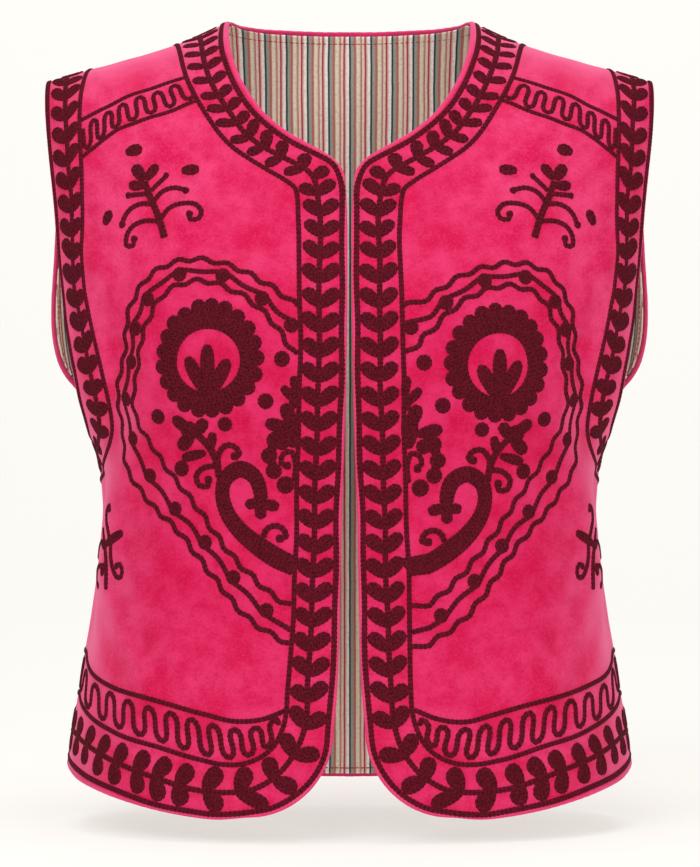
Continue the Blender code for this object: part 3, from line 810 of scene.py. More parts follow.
def cloth(name, layers, mirror, material):
    """One closed sheet of cloth between two layers of points, with its pattern as UV in metres
    and the distance from its free edge as a second UV. Where mirror is 0, it is a whole back."""
    outer, inner, places, edge = layers
    if mirror:
        flip = np.array([mirror, 1.0, 1.0])
        outer, inner = outer * flip, inner * flip
    else:
        outer, inner, places = [whole(part, across=True) for part in (outer, inner, places)]
        edge = whole(edge)
    rows, columns = edge.shape
    mesh = bmesh.new()
    cell = mesh.verts.layers.int.new("cell")
    bmesh.ops.create_grid(mesh, x_segments=columns - 1, y_segments=rows - 1, size=0.5)
    for vertex in mesh.verts:
        row = round((vertex.co.y + 0.5) * (rows - 1))
        column = round((vertex.co.x + 0.5) * (columns - 1))
        vertex[cell] = row * columns + column
        vertex.co = outer[row, column] * MM
    walls = bmesh.ops.extrude_face_region(mesh, geom=mesh.faces[:], use_keep_orig=True)
    for vertex in walls["geom"]:
        if isinstance(vertex, bmesh.types.BMVert):
            vertex.co = inner[divmod(vertex[cell], columns)] * MM
    turn_faces(mesh, lambda shell: shell.calc_volume(signed=True) < 0)
    pattern = mesh.loops.layers.uv.new("pattern")
    border = mesh.loops.layers.uv.new("border")
    for face in mesh.faces:
        for loop in face.loops:
            here = divmod(loop.vert[cell], columns)
            loop[pattern].uv = places[here] * MM
            loop[border].uv = (edge[here] * MM, 0.0)
    return finished(name, mesh, material)


def velvet_layers(panel):
    """Points of the velvet's face and back, their places, and their distance from an edge."""
    places = graded(graded(panel.grid, NEAR_EDGE).swapaxes(0, 1), NEAR_EDGE).swapaxes(0, 1)
    height, edge = panel.relief(places)
    outer, _ = panel.points(places, height)
    inner, _ = panel.points(places, np.where(edge < 0.2, -TURNED_WALL, -VELVET_WALL))
    return outer, inner, places, edge


def lining_layers(panel, columns_at_neck):
    """The same for the lining, drawn back from the free edges."""
    top_trim = np.zeros(panel.grid.shape[1])
    top_trim[:columns_at_neck] = LINING_TRIM
    places = graded(panel.grid, LINING_NEAR_EDGE, LINING_TRIM, top_trim)
    at_side = np.arange(len(places)) * len(panel.grid) / len(places) < len(panel.side_line)
    outer_trim = np.where(at_side, 0.0, LINING_TRIM)
    inner_trim = 0.0 if columns_at_neck > 1 else LINING_TRIM
    places = graded(places.swapaxes(0, 1), LINING_NEAR_EDGE, inner_trim, outer_trim).swapaxes(0, 1)
    edge, _ = nearest(places, panel.free)
    outer, _ = panel.points(places, np.full(edge.shape, LINING_OUT))
    inner, _ = panel.points(places, np.full(edge.shape, LINING_IN))
    return outer, inner, places, edge


class Needlework:
    """Rows of chain stitch on one panel, gathered and then joined into one mesh."""

    def __init__(self, name, panel, mirror, material, seed):
        self.name = name
        self.panel = panel
        self.mirror = mirror
        self.material = material
        self.chance = np.random.default_rng(seed + int(mirror))
        self.shift = (0.0, 0.0)
        self.rows = []

    def near(self, place):
        """A place as a hand would meet it, a little off."""
        return np.array(place, float) + self.chance.normal(0, WANDER, 2)

    def row(self, line, width=ROW_WIDTH, closed=False, link=LINK):
        """One row of chain stitch along a line of close places."""
        line = np.asarray(line, float)
        long = run_of(line)[-1] > LONG_ROW
        across = line[:, 0] if long else np.full(len(line), line[:, 0].mean())
        line = line + np.interp(across, SHIFT_ACROSS, SHIFT_SHARE)[:, None] * self.shift
        run = run_of(line)[-1]
        marks = np.linspace(0, run, max(2, int(round(run / link))) * LINK_STEPS + 1)
        places = at_marks(line, marks)
        if run > LONG_ROW:
            turns = self.chance.uniform(0, TURN, (2, 2))
            for length, turn in zip(WANDER_LENGTHS, turns):
                places += WANDER * np.sin(marks[:, None] / length + turn)
        self.rows.append((places, width, closed))

    def build(self):
        """The mesh of all the rows: each is a strip with a lane of points for each ROW_ACROSS."""
        starts = np.cumsum([0] + [len(places) for places, _, _ in self.rows])
        places = np.concatenate([places for places, _, _ in self.rows])
        height, _ = self.panel.relief(places)
        base, normal = self.panel.points(places, height)
        points, uvs, quads = [], [], []
        used = 0
        for (_, width, closed), start, end in zip(self.rows, starts, starts[1:]):
            at = base[start:end]
            out = normal[start:end]
            if closed:
                ring = np.concatenate([at[-2:-1], at, at[1:2]])
                heading = ring[2:] - ring[:-2]
            else:
                heading = np.gradient(at, axis=0)
            sideways = np.cross(out, unit(heading))
            step = np.arange(end - start)
            wide = np.array(LINK_WIDTHS)[step % LINK_STEPS] * width / 2
            rise = np.full(len(step), ROW_RISE)
            if not closed:
                wide[[0, -1]] *= ROW_END[0]
                rise[[0, -1]] *= ROW_END[1]
            # Each row counts its links from a number of its own, so that its threads differ
            count = step / LINK_STEPS + used % 977
            for across, lift in zip(ROW_ACROSS, ROW_HEIGHT):
                points.append(at + sideways * (wide * across)[:, None] + out * (rise * lift)[:, None])
                uvs.append(np.stack([count, np.full(len(step), 0.5 + across / 2)], axis=1))
            quads += strip_faces(len(step), len(ROW_ACROSS), used, self.mirror)
            used += len(step) * len(ROW_ACROSS)
        points = np.concatenate(points) * np.array([self.mirror, 1.0, 1.0]) * MM
        return joined_mesh(self.name, points, quads, np.concatenate(uvs), self.material)


def strip_faces(size, lanes, first, mirror):
    """Point numbers of the faces between the lanes of a strip, turned over where it is mirrored."""
    start = first + np.arange(size - 1)
    lows = [start + lane * size for lane in range(lanes - 1)]
    corners = [0, 1, 2, 3] if mirror > 0 else [0, 3, 2, 1]
    return [np.stack([low, low + 1, low + size + 1, low + size], axis=1)[:, corners] for low in lows]


def joined_mesh(name, points, quads, uvs, material):
    """One smooth mesh from many small strips."""
    quads = np.concatenate(quads)
    data = bpy.data.meshes.new(name)
    data.vertices.add(len(points))
    data.vertices.foreach_set("co", points.ravel())
    data.loops.add(quads.size)
    data.loops.foreach_set("vertex_index", quads.ravel())
    data.polygons.add(len(quads))
    data.polygons.foreach_set("loop_start", np.arange(len(quads)) * 4)
    data.polygons.foreach_set("loop_total", np.full(len(quads), 4))
    layer = data.uv_layers.new(name="row")
    layer.data.foreach_set("uv", uvs[quads.ravel()].ravel())
    data.update(calc_edges=True)
    data.shade_smooth()
    data.materials.append(material)
    data.validate()
    return placed(name, data)


def left_of(heading):
    return np.stack([-heading[..., 1], heading[..., 0]], axis=-1)


def turned(line):
    """Unit normals of a line of places, to its left."""
    return left_of(unit(np.gradient(line, axis=0)))


def facing(degrees):
    """Unit vectors for angles from the first axis."""
    angle = np.radians(degrees)
    return np.stack([np.cos(angle), np.sin(angle)], axis=-1)


def moved(line, distance):
    """A line beside another one, to its left, smoothed so that it never loops."""
    distance = np.broadcast_to(np.asarray(distance, float), len(line))
    off = line + turned(line) * distance[:, None]
    keep, _ = nearest(off, line)
    off = off[keep > np.abs(distance) * 0.94]
    few = np.unique(np.append(np.arange(0, len(off) - 4, 8), len(off) - 1))
    return smooth_line(off[few])


def waved(line, phase=0.0):
    """A line of places with the medallion's small waves."""
    share = WAVE_HEIGHT * np.sin(TURN * run_of(line) / WAVE_LENGTH + phase)
    return line + turned(line) * share[:, None]


def part_of(line, start, end):
    """A stretch of a line, from one length along it to another; an end below 0 counts back."""
    end = run_of(line)[-1] + end if end <= 0 else end
    return at_marks(line, np.linspace(start, end, max(3, int((end - start) / LINE_STEP))))


def leaf(work, base, tip, width, bend=0.0):
    """A leaf worked in rows from its outline inward."""
    base = work.near(base)
    axis = work.near(tip) - base
    length = np.linalg.norm(axis)
    axis /= length

    def row(ahead, aside, closed=False):
        aside = aside + bend * (ahead / length) ** 2
        work.row(base + axis * ahead[:, None] + left_of(axis) * aside[:, None], closed=closed)

    turn = np.linspace(0, 2 * np.pi, 40)
    share = (1 - np.cos(turn)) / 2
    widest = width / 2 - ROW_WIDTH / 2
    rings = max(1, int(np.ceil(widest / LEAF_RING)))
    for ring in range(rings):
        half = widest * (1 - ring / rings)
        inset = width / 2 - half
        fullness = np.sign(np.sin(turn)) * np.abs(np.sin(turn)) ** LEAF_POWER
        row(inset + (length - 2 * inset) * share, half * fullness * (0.68 + 0.44 * share), closed=True)
    inset = min(width / 2 - widest / rings * 0.4, length / 2 - 1.2)
    row(inset + (length - 2 * inset) * np.linspace(0.0, 1.0, 8), 0.0)


def leaves(work, table, centre=(0.0, 0.0)):
    """Leaves from a table of base, tip and width."""
    for x1, y1, x2, y2, width in table:
        leaf(work, np.add(centre, (x1, y1)), np.add(centre, (x2, y2)), width)


def dot(work, centre, radius):
    """A round dot worked in rings."""
    centre = work.near(centre)
    circle = facing(np.linspace(0, 360, 25))
    ring = radius - ROW_WIDTH / 2
    while ring > 0.5:
        work.row(centre + ring * circle, closed=True, link=1.9)
        ring -= ROW_PITCH
    if ring > -0.9:
        work.row(centre + np.array([[-1.1, 0.0], [0.0, 0.1], [1.1, 0.0]]))


def dots(work, table):
    """Dots from a table of centre and radius."""
    for across, up, radius in table:
        dot(work, (across, up), radius)


def thick(work, table):
    """A stem of changing width, worked in rows side by side; the outer ones end a little sooner."""
    spine = smooth_line(table)
    width = spine[:, 2]
    spine = spine[:, :2]
    lanes = int(np.ceil((width.max() - ROW_WIDTH) / ROW_PITCH)) + 1
    for share in np.linspace(-1, 1, lanes):
        line = spine + turned(spine) * (share * (width - ROW_WIDTH) / 2)[:, None]
        work.row(part_of(line, 0.01, -0.01 - share**2 * 3.0))


def curl(work, points, bead=2.9, width=3.3):
    """A curled tendril that ends in a bead."""
    line = smooth_line(points)
    work.row(line, width=width)
    dot(work, line[-1], bead)


def meander(work, lower, upper, turns, low=0.185, high=0.80, width=3.4, start=0.0, warp=0.0):
    """A winding row between two lines, with round turns and upright sides. It lies between two
    shares of the way across, and may start within a turn and crowd its turns at one end."""
    s = np.linspace(0.0, 1.0, int(60 * turns))
    phase = 2 * np.pi * (turns * (s - warp * np.sin(np.pi * s)) + start)
    drift = np.clip(s + MEANDER_LEAN / (4 * np.pi * turns) * np.sin(2 * phase), 0, 1)
    share = low + (high - low) * (0.5 - 0.5 * np.cos(phase))
    sides = [at_marks(line, drift * run_of(line)[-1]) for line in (lower, upper)]
    work.row(sides[0] * (1 - share[:, None]) + sides[1] * share[:, None], width=width)


def leaves_along(work, stem, line, groups, mark, gap=1.3):
    """Leaves along one side of a stem, none of them reaching past the line beside it."""
    end = run_of(stem)[-1]
    for count, pitch, lean, length, width in groups:
        for _ in range(count):
            if mark > end:
                return
            node, ahead, behind = at_marks(stem, mark + np.array([0.0, 4.0, -4.0]))
            heading = (ahead - behind) / np.linalg.norm(ahead - behind)
            nearest_point = line[nearest(node[None], line)[1][0]]
            hand = np.sign((nearest_point - node) @ left_of(heading))
            angle = np.radians(lean)
            axis = heading * np.cos(angle) + hand * left_of(heading) * np.sin(angle)
            reach = 3.0
            while reach < length:
                tip = (node + axis * (reach + 0.5))[None]
                to_line, to_seam = [nearest(tip, edge)[0][0] for edge in (line, work.panel.shoulder)]
                if to_line < gap + width * 0.12 or to_seam < LEAF_SHORT_OF_SEAM:
                    break
                reach += 0.5
            leaf(work, node + axis * 0.1, node + axis * reach, width, bend=hand * 0.9)
            mark += pitch


def band(work, lines, stem, leaf_groups, start):
    """A border band: lines with their widths, a stem, and leaves towards the first two lines."""
    for line, width in lines:
        work.row(line, width=width)
    work.row(stem, width=STEM_WIDTH)
    for (line, _), groups in zip(lines, leaf_groups):
        leaves_along(work, stem, line, groups, start)


def sprig(work, place):
    """A small sprig with three leaves, two buds and four curling branches."""
    base = np.array(place[0], float)
    axis = np.array(place[1], float) - base
    scale = np.linalg.norm(axis) / SPRIG_LENGTH
    axis /= np.linalg.norm(axis)

    def put(points):
        points = np.atleast_2d(np.asarray(points, float)) * scale
        return base + points[:, :1] * left_of(axis) + points[:, 1:] * axis

    thick(work, np.column_stack([put(SPRIG_STEM), SPRIG_STEM_WIDTHS]))
    for x1, y1, x2, y2, width in SPRIG_LEAVES:
        leaf(work, put((x1, y1))[0], put((x2, y2))[0], max(width * scale, 4.2))
    for x1, y1, x2, y2, width in SPRIG_BUDS:
        points = ((x1, y1), ((x1 + x2) / 2, (y1 + y2) / 2), (x2, y2))
        curl(work, put(points), bead=width * 0.64, width=width)
    for points in SPRIG_BRANCHES:
        curl(work, put(points), bead=2.6, width=3.8)


def front_needlework(work, panel):
    """All the embroidery of a front."""
    edge = smooth_line(join(panel.bottom[::-1], panel.inner)[::4])
    run = run_of(edge)
    outer = moved(edge, -np.interp(run / run[-1], *np.array(EDGE_MARGIN).T))
    inner = smooth_line(BAND_INNER)
    low, high = UNEVEN_HEIGHTS
    share = np.clip(np.minimum(high - inner[:, 1], inner[:, 1] - low) / UNEVEN_FADE, 0, 1)
    inner[:, 0] += work.mirror * BAND_UNEVEN * share
    lines = ((outer, EDGE_WIDTH), (inner, LINE_WIDTH))
    groups = (BAND_OUTER_LEAVES, BAND_INNER_LEAVES)
    band(work, lines, smooth_line(BAND_STEM), groups, BAND_LEAVES_START)

    upper = smooth_line(HEM_UPPER)
    work.row(upper, width=LINE_WIDTH)
    corner = np.hypot(inner[:, 0] - HEM_CORNER[0], inner[:, 1] - HEM_CORNER[1]).argmin()
    low, high = [int(np.argmax(line[:, 0] < HEM_STRIDE)) for line in (inner, upper)]
    meander(work, inner[: low + 1], upper[: high + 1], 2, **HEM_MEANDER)
    meander(work, inner[low: corner + 1], part_of(upper[high:], 0.01, -5.0), 10.75, warp=0.07,
            **HEM_MEANDER)

    outer = moved(smooth_line(panel.armhole[::3]), ARM_EDGE)
    lines = ((outer, ARM_EDGE_WIDTH), (smooth_line(ARM_INNER), LINE_WIDTH))
    groups = (ARM_OUTER_LEAVES, ARM_INNER_LEAVES)
    band(work, lines, smooth_line(ARM_STEM)[::-1], groups, ARM_LEAVES_START)

    lower = smooth_line(SHOULDER_LOWER)
    upper = smooth_line(SHOULDER_UPPER)
    for line in (upper, lower):
        work.row(line, width=3.3)
    meander(work, lower, upper, 6.67, low=0.14, width=3.5, start=-0.4)

    medallion(work)
    sprig(work, CHEST_SPRIG)
    side_sprig(work)
    leaves(work, LONG_DOTS)


def side_sprig(work):
    """Half of a sprig, close to the side seam."""
    work.row(smooth_line(SIDE_STEM), width=4.2)
    work.row(smooth_line(SIDE_HOOK), width=3.6)
    curl(work, SIDE_CURL, bead=2.4, width=3.9)
    leaves(work, SIDE_LEAVES)
    for points in SIDE_BRANCHES:
        curl(work, points, bead=2.6, width=3.8)


def medallion(work):
    """The big medallion: three outlines with beads, a round flower, and what grows below it."""
    work.shift = MEDALLION_SHIFT if work.mirror > 0 else (0.0, 0.0)
    outer, inner = np.split(np.array(MEDALLION, float), 2, axis=1)
    middle = smooth_line(outer * (1 - MIDDLE_SHARE) + inner * MIDDLE_SHARE)
    work.row(waved(smooth_line(outer)), width=OUTLINE_WIDTH)
    work.row(waved(smooth_line(inner), 1.0), width=OUTLINE_WIDTH)
    between = np.interp(run_of(middle), BEADS, np.arange(len(BEADS))) % 1
    sag = BEAD_INSET * 1.3 * np.sin(np.pi * between) ** 1.5 - 0.4
    work.row(middle - turned(middle) * sag[:, None], width=OUTLINE_WIDTH)
    beads = at_marks(np.column_stack([middle, turned(middle)]), BEADS)
    for bead in beads:
        dot(work, bead[:2] - bead[2:] * BEAD_INSET, BEAD_RADIUS)

    centre = np.array(FLOWER)
    circle = facing(np.linspace(0, 360, 90))
    hole = np.array(FLOWER_HOLE) + ROW_WIDTH / 2
    ring = np.array(FLOWER_RING)
    for row in range(FLOWER_ROWS):
        share = row / FLOWER_ROWS
        middle = centre - np.array([0.0, FLOWER_DROP]) * (1 - share)
        work.row(middle + circle * (hole + (ring - hole) * share), closed=True)
    for k in range(FLOWER_LOBES):
        dot(work, centre + ring * facing(360 * (k + 0.5) / FLOWER_LOBES), LOBE_RADIUS)
    leaves(work, PETALS, centre)
    curled_stem(work)
    thick(work, HALF_BOW)
    curl(work, HALF_CURL, bead=2.8, width=4.0)
    dots(work, LOOSE_DOTS)
    work.shift = (0.0, 0.0)


def curled_stem(work):
    """The curled stem with its three petals and curls, its branch, and the half blossom's leaves."""
    thick(work, CURLED_STEM)
    for degrees, length, width in TIP_PETALS:
        reach = length * facing(180 - degrees)
        leaf(work, CURLED_STEM_TIP, CURLED_STEM_TIP + reach, width)
    for points in CURLS:
        curl(work, points, width=4.3)
    thick(work, np.column_stack([BRANCH, np.full(len(BRANCH), 5.0)]))
    leaves(work, BRANCH_LEAVES + HALF_LEAVES)
    dots(work, HALF_LOBES + (BRANCH_HEART,))


def back_needlework(work, panel):
    """The border bands run on over the seams and round the back; the rest is plain."""
    hem = smooth_line(panel.bottom[::3])
    lines = [(moved(hem, offset), LINE_WIDTH) for offset in HEM_LINES]
    band(work, lines, moved(hem, HEM_STEM), (HEM_LEAVES, HEM_LEAVES), HEM_LEAVES_START)
    meander(work, lines[1][0], lines[2][0], 14)
    for edge, side, start, groups, ends in (
        (panel.neck, -1.0, NECK_LEAVES_START, NECK_LEAVES, BACK_NECK_END),
        (panel.armhole, 1.0, BACK_ARM_LEAVES_START, BACK_ARM_LEAVES, BACK_ARM_END),
    ):
        edge = smooth_line(edge[::3])
        share = run_of(edge) / run_of(edge)[-1]
        lines = [moved(edge, side * BAND_EDGE)]
        for width in zip(BACK_BAND, ends):
            lines.append(moved(edge, side * np.interp(share, (BACK_BAND_WIDENS, 1.0), width)))
        if edge[0, 0] < 1.0:
            lines = [np.concatenate([[(PAST_CENTRE, line[0, 1])], line]) for line in lines]
        outer, stem, inner = lines
        band(work, ((outer, LINE_WIDTH), (inner, LINE_WIDTH)), stem, (groups, groups), start)


def linear(colour):
    """An sRGB hex colour as linear red, green, blue and alpha."""
    parts = [int(colour[i: i + 2], 16) / 255 for i in (1, 3, 5)]
    return [p / 12.92 if p <= 0.04045 else ((p + 0.055) / 1.055) ** 2.4 for p in parts] + [1.0]


def new_material(name):
    """A material with an empty node tree, and the function that adds nodes to it."""
    material = bpy.data.materials.new(name)
    material.use_nodes = True
    nodes = material.node_tree.nodes
    nodes.clear()

    def add(kind, inputs=(), **settings):
        """Add a node and give its outputs. An input takes a number, a hex colour or an output."""
        node = nodes.new("ShaderNode" + kind)
        for setting, value in settings.items():
            setattr(node, setting, value)
        for place, value in dict(inputs).items():
            if isinstance(value, bpy.types.NodeSocket):
                material.node_tree.links.new(value, node.inputs[place])
            else:
                value = linear(value) if isinstance(value, str) else value
                node.inputs[place].default_value = value
        return node.outputs

    return material, add


def surface(add, colour, roughness, bump=None, **inputs):
    """The cloth shader at the end of every material. The bump is a height, its strength and its
    distance in mm."""
    inputs = {name.replace("_", " "): value for name, value in inputs.items()}
    inputs.update({"Base Color": colour, "Roughness": roughness})
    if bump:
        height, strength, distance = bump
        settings = {"Height": height, "Strength": strength, "Distance": distance * MM}
        inputs["Normal"] = add("Bump", settings)[0]
    add("OutputMaterial", {0: add("BsdfPrincipled", inputs)[0]})


def tinted(add, colour, layers):
    """Colours laid over the first one, each as far as its value lies between two bounds."""
    for value, low, high, most, shade in layers:
        bounds = {0: value, 1: low, 2: high, 4: most}
        share = add("MapRange", bounds, interpolation_type="SMOOTHSTEP")[0]
        colour = add("Mix", {0: share, 6: colour, 7: shade}, data_type="RGBA")[2]
    return colour


def cotton_velvet():
    """Cotton velvet, cut pile: soft mottling where the pile leans, painted shade below the chest
    and towards the front edges, a painted highlight on the turned edges, and a painted sheen
    that lifts the colour where the cloth turns away, on top of the shader's own sheen."""
    material, add = new_material("cotton_velvet_cut_pile")
    pattern = add("UVMap", uv_map="pattern")[0]
    mottling = []
    for size, detail, roughness in PILE_MOTTLING:
        spots = {"Vector": pattern, "Scale": 1 / (size * MM), "Detail": detail, "Roughness": roughness}
        mottling.append(add("TexNoise", spots)[0])
    broad, patch, fine = mottling
    colour = tinted(add, PINK, (
        (broad, 0.30, 0.70, 1.0, PINK_LIGHT),
        (patch, 0.48, 0.72, 0.48, PINK_DEEP),
        (patch, 0.46, 0.26, 0.5, PINK_LIGHT),
        (fine, 0.50, 0.70, 0.55, PINK_LIGHT),
        (fine, 0.48, 0.30, 0.55, PINK_DEEP),
    ))
    # Painted shade below the chest, less towards the hem and the sides, and painted shade towards the front
    # edges
    place = add("SeparateXYZ", {0: add("TexCoord")["Object"]})
    aside = add("Math", {0: place[0]}, operation="ABSOLUTE")[0]
    painted_shade = SHADE_BELOW_CHEST
    for value, bounds in ((place[2], SHADE_FROM_CHEST), (place[2], SHADE_TO_HEM), (aside, SHADE_TO_SIDE)):
        bounds = {0: value, 1: bounds[0] * MM, 2: bounds[1] * MM, 3: bounds[2]}
        share = add("MapRange", bounds, interpolation_type="SMOOTHSTEP")[0]
        painted_shade = add("Math", {0: painted_shade, 1: share}, operation="MULTIPLY")[0]
    bounds = {0: aside, 1: SHADE_TO_EDGE[0] * MM, 2: SHADE_TO_EDGE[1] * MM, 4: SHADE_AT_EDGE}
    edge_shade = add("MapRange", bounds, interpolation_type="SMOOTHSTEP")[0]
    painted_shade = add("Math", {0: painted_shade, 1: edge_shade}, operation="MAXIMUM")[0]
    shades = {0: painted_shade, 6: colour, 7: PINK_IN_SHADE}
    colour = add("Mix", shades, data_type="RGBA", blend_type="MULTIPLY")[2]
    # Painted sheen: paler pink where the cloth turns away from the view
    sheen_facing = add("LayerWeight", {"Blend": 0.5})["Facing"]
    # Painted highlight on the rolled edge, by the distance from the edge in the border UV
    edge = add("SeparateXYZ", {0: add("UVMap", uv_map="border")[0]})[0]
    colour = tinted(add, colour, (
        (sheen_facing, 0.26, 0.88, 0.8, PINK_PAINTED_SHEEN),
        (edge, 3.0 * MM, 1.2 * MM, 0.6, PINK_EDGE_HIGHLIGHT),
    ))
    height = add("Math", {0: patch, 1: 1.5, 2: fine}, operation="MULTIPLY_ADD")[0]
    surface(add, colour, 0.9, (height, 0.25, 0.6), Specular_IOR_Level=0.08, Sheen_Weight=0.30,
            Sheen_Roughness=0.45, Sheen_Tint=PINK_SHEEN)
    return material


def chain_thread():
    """Matt cotton thread in chain stitch: soft loops with loose fibres, painted shade in the grooves
    between links, and in the middle of each loop a small hole where the needle went down,
    darkened with painted shade."""
    material, add = new_material("cotton_thread_chain_stitch")
    row = add("SeparateXYZ", {0: add("UVMap", uv_map="row")[0]})
    phase = add("Math", {0: row[0]}, operation="FRACT")[0]
    far = 0.0
    sides = []
    for value, radius in ((phase, 0.19), (row[1], 0.16)):
        off = add("Math", {0: value, 1: 0.5}, operation="SUBTRACT")[0]
        sides.append(add("Math", {0: off}, operation="ABSOLUTE")[0])
        share = add("Math", {0: sides[-1], 1: radius}, operation="DIVIDE")[0]
        far = add("Math", {0: share, 1: share, 2: far}, operation="MULTIPLY_ADD")[0]
    link = add("Math", {0: row[0]}, operation="FLOOR")[0]
    # How dark the painted shade in each needle hole is, by chance for each link
    chance = add("TexWhiteNoise", {"W": link}, noise_dimensions="1D")[0]
    bounds = {0: chance, 1: 0.0, 2: 0.7, 3: 0.15, 4: 0.95}
    painted_shade = add("MapRange", bounds, interpolation_type="SMOOTHSTEP")[0]
    # Painted shade in the needle hole
    hole = add("MapRange", {0: far, 1: 1.4, 2: 0.3}, interpolation_type="SMOOTHSTEP")[0]
    hole = add("Math", {0: hole, 1: painted_shade}, operation="MULTIPLY")[0]
    # Groove between links: lower in the bump, and darkened with painted shade
    loop = add("Math", {0: sides[1], 1: 1.2, 2: row[0]}, operation="MULTIPLY_ADD")[0]
    loop = add("Math", {0: loop}, operation="FRACT")[0]
    loop = add("Math", {0: loop, 1: 0.5}, operation="SUBTRACT")[0]
    loop = add("Math", {0: loop}, operation="ABSOLUTE")[0]
    groove = add("MapRange", {0: loop, 1: 0.38, 2: 0.5, 4: 0.3}, interpolation_type="SMOOTHSTEP")[0]
    place = add("TexCoord")["Object"]
    fibres = {"Vector": place, "Scale": 1 / (FIBRE * MM), "Detail": 3.0, "Roughness": 0.6}
    fuzz = add("TexNoise", fibres)[0]
    colour = tinted(add, MAROON_DARK_AND_GROOVE_SHADE, ((fuzz, 0.30, 0.72, 1.0, MAROON),))
    # Painted shade in the grooves and in the needle holes
    for share, shade in ((groove, MAROON_DARK_AND_GROOVE_SHADE), (hole, HOLE_SHADE)):
        colour = add("Mix", {0: share, 6: colour, 7: shade}, data_type="RGBA")[2]
    low = add("Math", {0: hole, 1: groove}, operation="ADD")[0]
    height = add("Math", {0: fuzz, 1: low}, operation="SUBTRACT")[0]
    surface(add, colour, 0.85, (height, 0.5, 0.4), Specular_IOR_Level=0.1)
    return material


def striped_lining():
    """Plain-woven cotton ticking: dull, with narrow stripes along the warp."""
    material, add = new_material("cotton_ticking_woven_stripes")
    pattern = add("UVMap", uv_map="pattern")[0]
    across = add("SeparateXYZ", {0: pattern})[0]
    repeat = sum(width for width, _ in STRIPES)
    spots = {"Vector": pattern, "Scale": 1 / (LINING_WANDER * MM), "Detail": 2.0, "Roughness": 0.55}
    wander = add("TexNoise", spots)[0]
    place = add("Math", {0: wander, 1: 0.6 * MM, 2: across}, operation="MULTIPLY_ADD")[0]
    share = add("Math", {0: place, 1: 1 / (repeat * MM), 2: 100.0}, operation="MULTIPLY_ADD")[0]
    ramp = add("ValToRGB", {0: add("Math", {0: share}, operation="FRACT")[0]})[0]
    stripes = ramp.node.color_ramp
    stripes.interpolation = "CONSTANT"
    stripes.elements[0].color = linear(STRIPES[0][1])
    at = STRIPES[0][0]
    for width, colour in STRIPES[1:-1]:
        stripes.elements.new(at / repeat).color = linear(colour)
        at += width
    stripes.elements[-1].position = at / repeat
    stripes.elements[-1].color = linear(STRIPES[-1][1])
    spots = {"Vector": pattern, "Scale": 1 / (SLUB_LENGTH * MM), "Detail": 3.0, "Roughness": 0.55}
    colour = tinted(add, ramp, ((add("TexNoise", spots)[0], 0.4, 0.75, 0.25, SLUB),))
    # A wave's period is a twentieth of a turn over its scale
    weft = {"Vector": pattern, "Scale": np.pi / 10 / (WEFT_PITCH * MM), "Distortion": 1.0}
    height = add("TexWave", weft, bands_direction="Y")["Fac"]
    surface(add, colour, 0.85, (height, 0.15, 0.2), Specular_IOR_Level=0.2, Sheen_Weight=0.05)
    return material


def sewing_thread():
    """Crimson cotton sewing thread: small dull stitches, smoother than the cloth."""
    material, add = new_material("cotton_sewing_thread")
    surface(add, CRIMSON_THREAD, 0.7, Specular_IOR_Level=0.1)
    return material


def glowing_paper():
    """Pale sheet that glows of itself, painted light with no lamp behind it: the even glow leaves only
    soft, pale shadows.
    """
    material, add = new_material("glowing_paper_sweep")
    surface(add, PAPER, 1.0, Specular_IOR_Level=0.0, Emission_Color=PAPER_GLOW,
            Emission_Strength=PAPER_GLOW_STRENGTH)
    return material


def dress(piece, node):
    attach(piece, "root")
    if node:
        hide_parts(node)


def topstitch(name, panel, line, offset, mirrors, material):
    """A row of crimson running stitches on the inside of the lining, beside an edge."""
    line = moved(smooth_line(line), offset)
    run = run_of(line)[-1]
    count = int(run / (STITCH + STITCH_GAP))
    points, quads = [], []
    used = 0
    for mark in (np.arange(count) + 0.5) * run / count:
        places = at_marks(line, np.linspace(mark - STITCH / 2, mark + STITCH / 2, STITCH_POINTS))
        at, out = panel.points(places, np.full(STITCH_POINTS, LINING_IN))
        sideways = np.cross(out, unit(np.gradient(at, axis=0)))
        bow = np.sin(np.linspace(0.25, np.pi - 0.25, STITCH_POINTS))[:, None]
        for mirror in mirrors:
            for side, low in STITCH_SECTION:
                point = at + sideways * side - out * (low * bow + 0.02)
                points.append(point * np.array([mirror, 1.0, 1.0]))
            # A stitch on the inside faces the other way
            quads += strip_faces(STITCH_POINTS, 3, used, -mirror)
            used += STITCH_POINTS * 3
    points = np.concatenate(points) * MM
    piece = joined_mesh(name, points, quads, np.zeros((len(points), 2)), material)
    dress(piece, None)


def light(name, place, target, size, power):
    data = bpy.data.lights.new(name, "AREA")
    data.shape = "RECTANGLE"
    data.size, data.size_y = size
    data.energy = power
    lamp = placed(name, data)
    lamp.location = place
    heading = Vector(target) - Vector(place)
    lamp.rotation_euler = heading.to_track_quat("-Z", "Y").to_euler()


def sweep():
    """A plain pale floor that sweeps up behind."""
    mesh = bmesh.new()
    bmesh.ops.create_grid(mesh, x_segments=1, y_segments=48, size=0.5)
    arc = FLOOR_BEND * np.pi / 2
    for vertex in mesh.verts:
        run = (vertex.co.y + 0.5) * FLOOR_SIZE
        turn = np.clip((run - FLOOR_RUN) / FLOOR_BEND, 0, np.pi / 2)
        y = FLOOR_FRONT + min(run, FLOOR_RUN) + FLOOR_BEND * np.sin(turn)
        z = FLOOR_BEND * (1 - np.cos(turn)) + max(0.0, run - FLOOR_RUN - arc)
        vertex.co = (vertex.co.x * FLOOR_SIZE, y, z + FLOOR_HEIGHT)
    turn_faces(mesh, lambda sheet: sheet.faces[0].normal.z < 0)
    finished("sweep", mesh, glowing_paper())


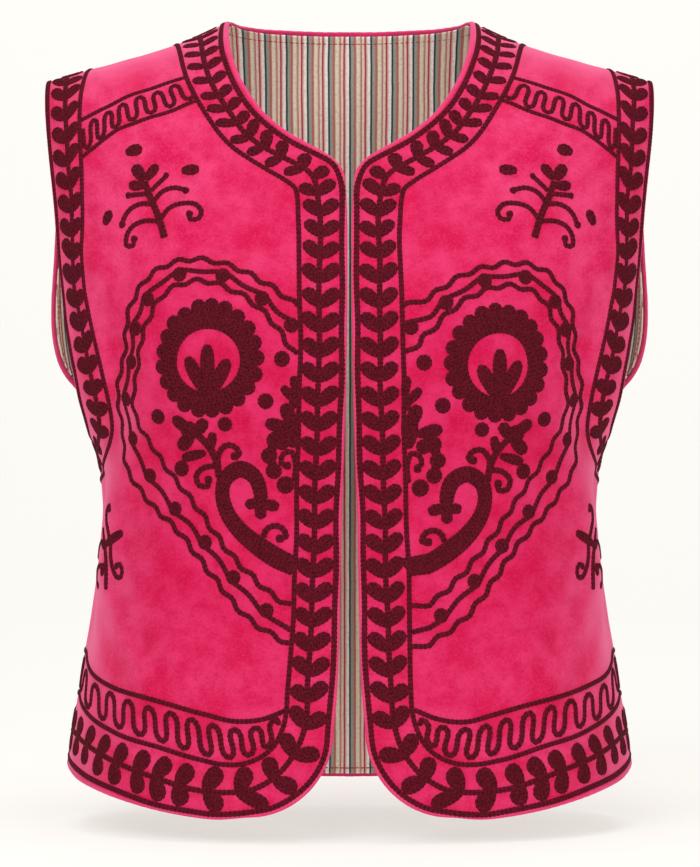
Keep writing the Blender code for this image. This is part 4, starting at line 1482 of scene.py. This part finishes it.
def studio():
    """The floor, soft lights all round, and the camera."""
    sweep()
    for name, values in LIGHTS.items():
        light(name, *values)
    world = bpy.data.worlds.new("soft_room")
    world.use_nodes = True
    background = world.node_tree.nodes["Background"]
    background.inputs[0].default_value = linear(PAPER_GLOW)
    background.inputs[1].default_value = ROOM_LIGHT
    bpy.context.scene.world = world
    camera = bpy.data.cameras.new("camera")
    camera.sensor_fit = "VERTICAL"
    camera.sensor_height = 36.0
    camera.lens = CAMERA_LENS
    camera.clip_end = 50.0
    camera.dof.use_dof = False
    eye = placed("camera", camera)
    eye.location = CAMERA_PLACE
    eye.rotation_euler = (np.pi / 2, 0.0, 0.0)
    bpy.context.scene.camera = eye
    bpy.context.scene.view_settings.view_transform = "Standard"


def make_up(name, velvet, lining, mirror, works):
    """The velvet, the embroidery and the lining of a front, or, where mirror is 0, of the back."""
    layers, material = velvet
    piece = cloth("velvet_" + name, layers, mirror, material)
    dress(piece, name)
    stitches = [work.build() for work in works]
    for rows in stitches:
        dress(rows, None)
    layers, material = lining
    under = cloth("lining_" + name + "_cloth", layers, mirror, material)
    dress(under, "lining_" + name)


def main():
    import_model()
    velvet = cotton_velvet()
    thread = chain_thread()
    lining = striped_lining()
    crimson = sewing_thread()

    front = Panel("front", Form("front", FRONT_FOLDS), VELVET_FINE)
    faces = (velvet_layers(front), velvet)
    insides = (lining_layers(Panel("front", front.form, LINING_FINE), 1), lining)
    line = join(front.opening, front.neck)[::4]
    for side, mirror in SIDES:
        work = Needlework("embroidery_front_" + side, front, mirror, thread, seed=31)
        front_needlework(work, front)
        make_up("front_" + side, faces, insides, mirror, [work])
        topstitch("topstitch_front_" + side, front, line, FRONT_TOPSTITCH, (mirror,), crimson)

    back = Panel("back", Form("back", BACK_FOLDS), VELVET_FINE)
    faces = (velvet_layers(back), velvet)
    neck_columns = NECK_STEPS["back"] * LINING_FINE + 1
    insides = (lining_layers(Panel("back", back.form, LINING_FINE), neck_columns), lining)
    works = [Needlework("embroidery_back_" + side, back, mirror, thread, seed=51) for side, mirror in SIDES]
    for work in works:
        back_needlework(work, back)
    make_up("back", faces, insides, 0, works)
    for part, line in (("neck", back.neck), ("hem", back.bottom), ("arm", back.armhole)):
        topstitch("topstitch_back_" + part, back, line[::3], BACK_TOPSTITCH[part], (1.0, -1.0), crimson)

    studio()


main()
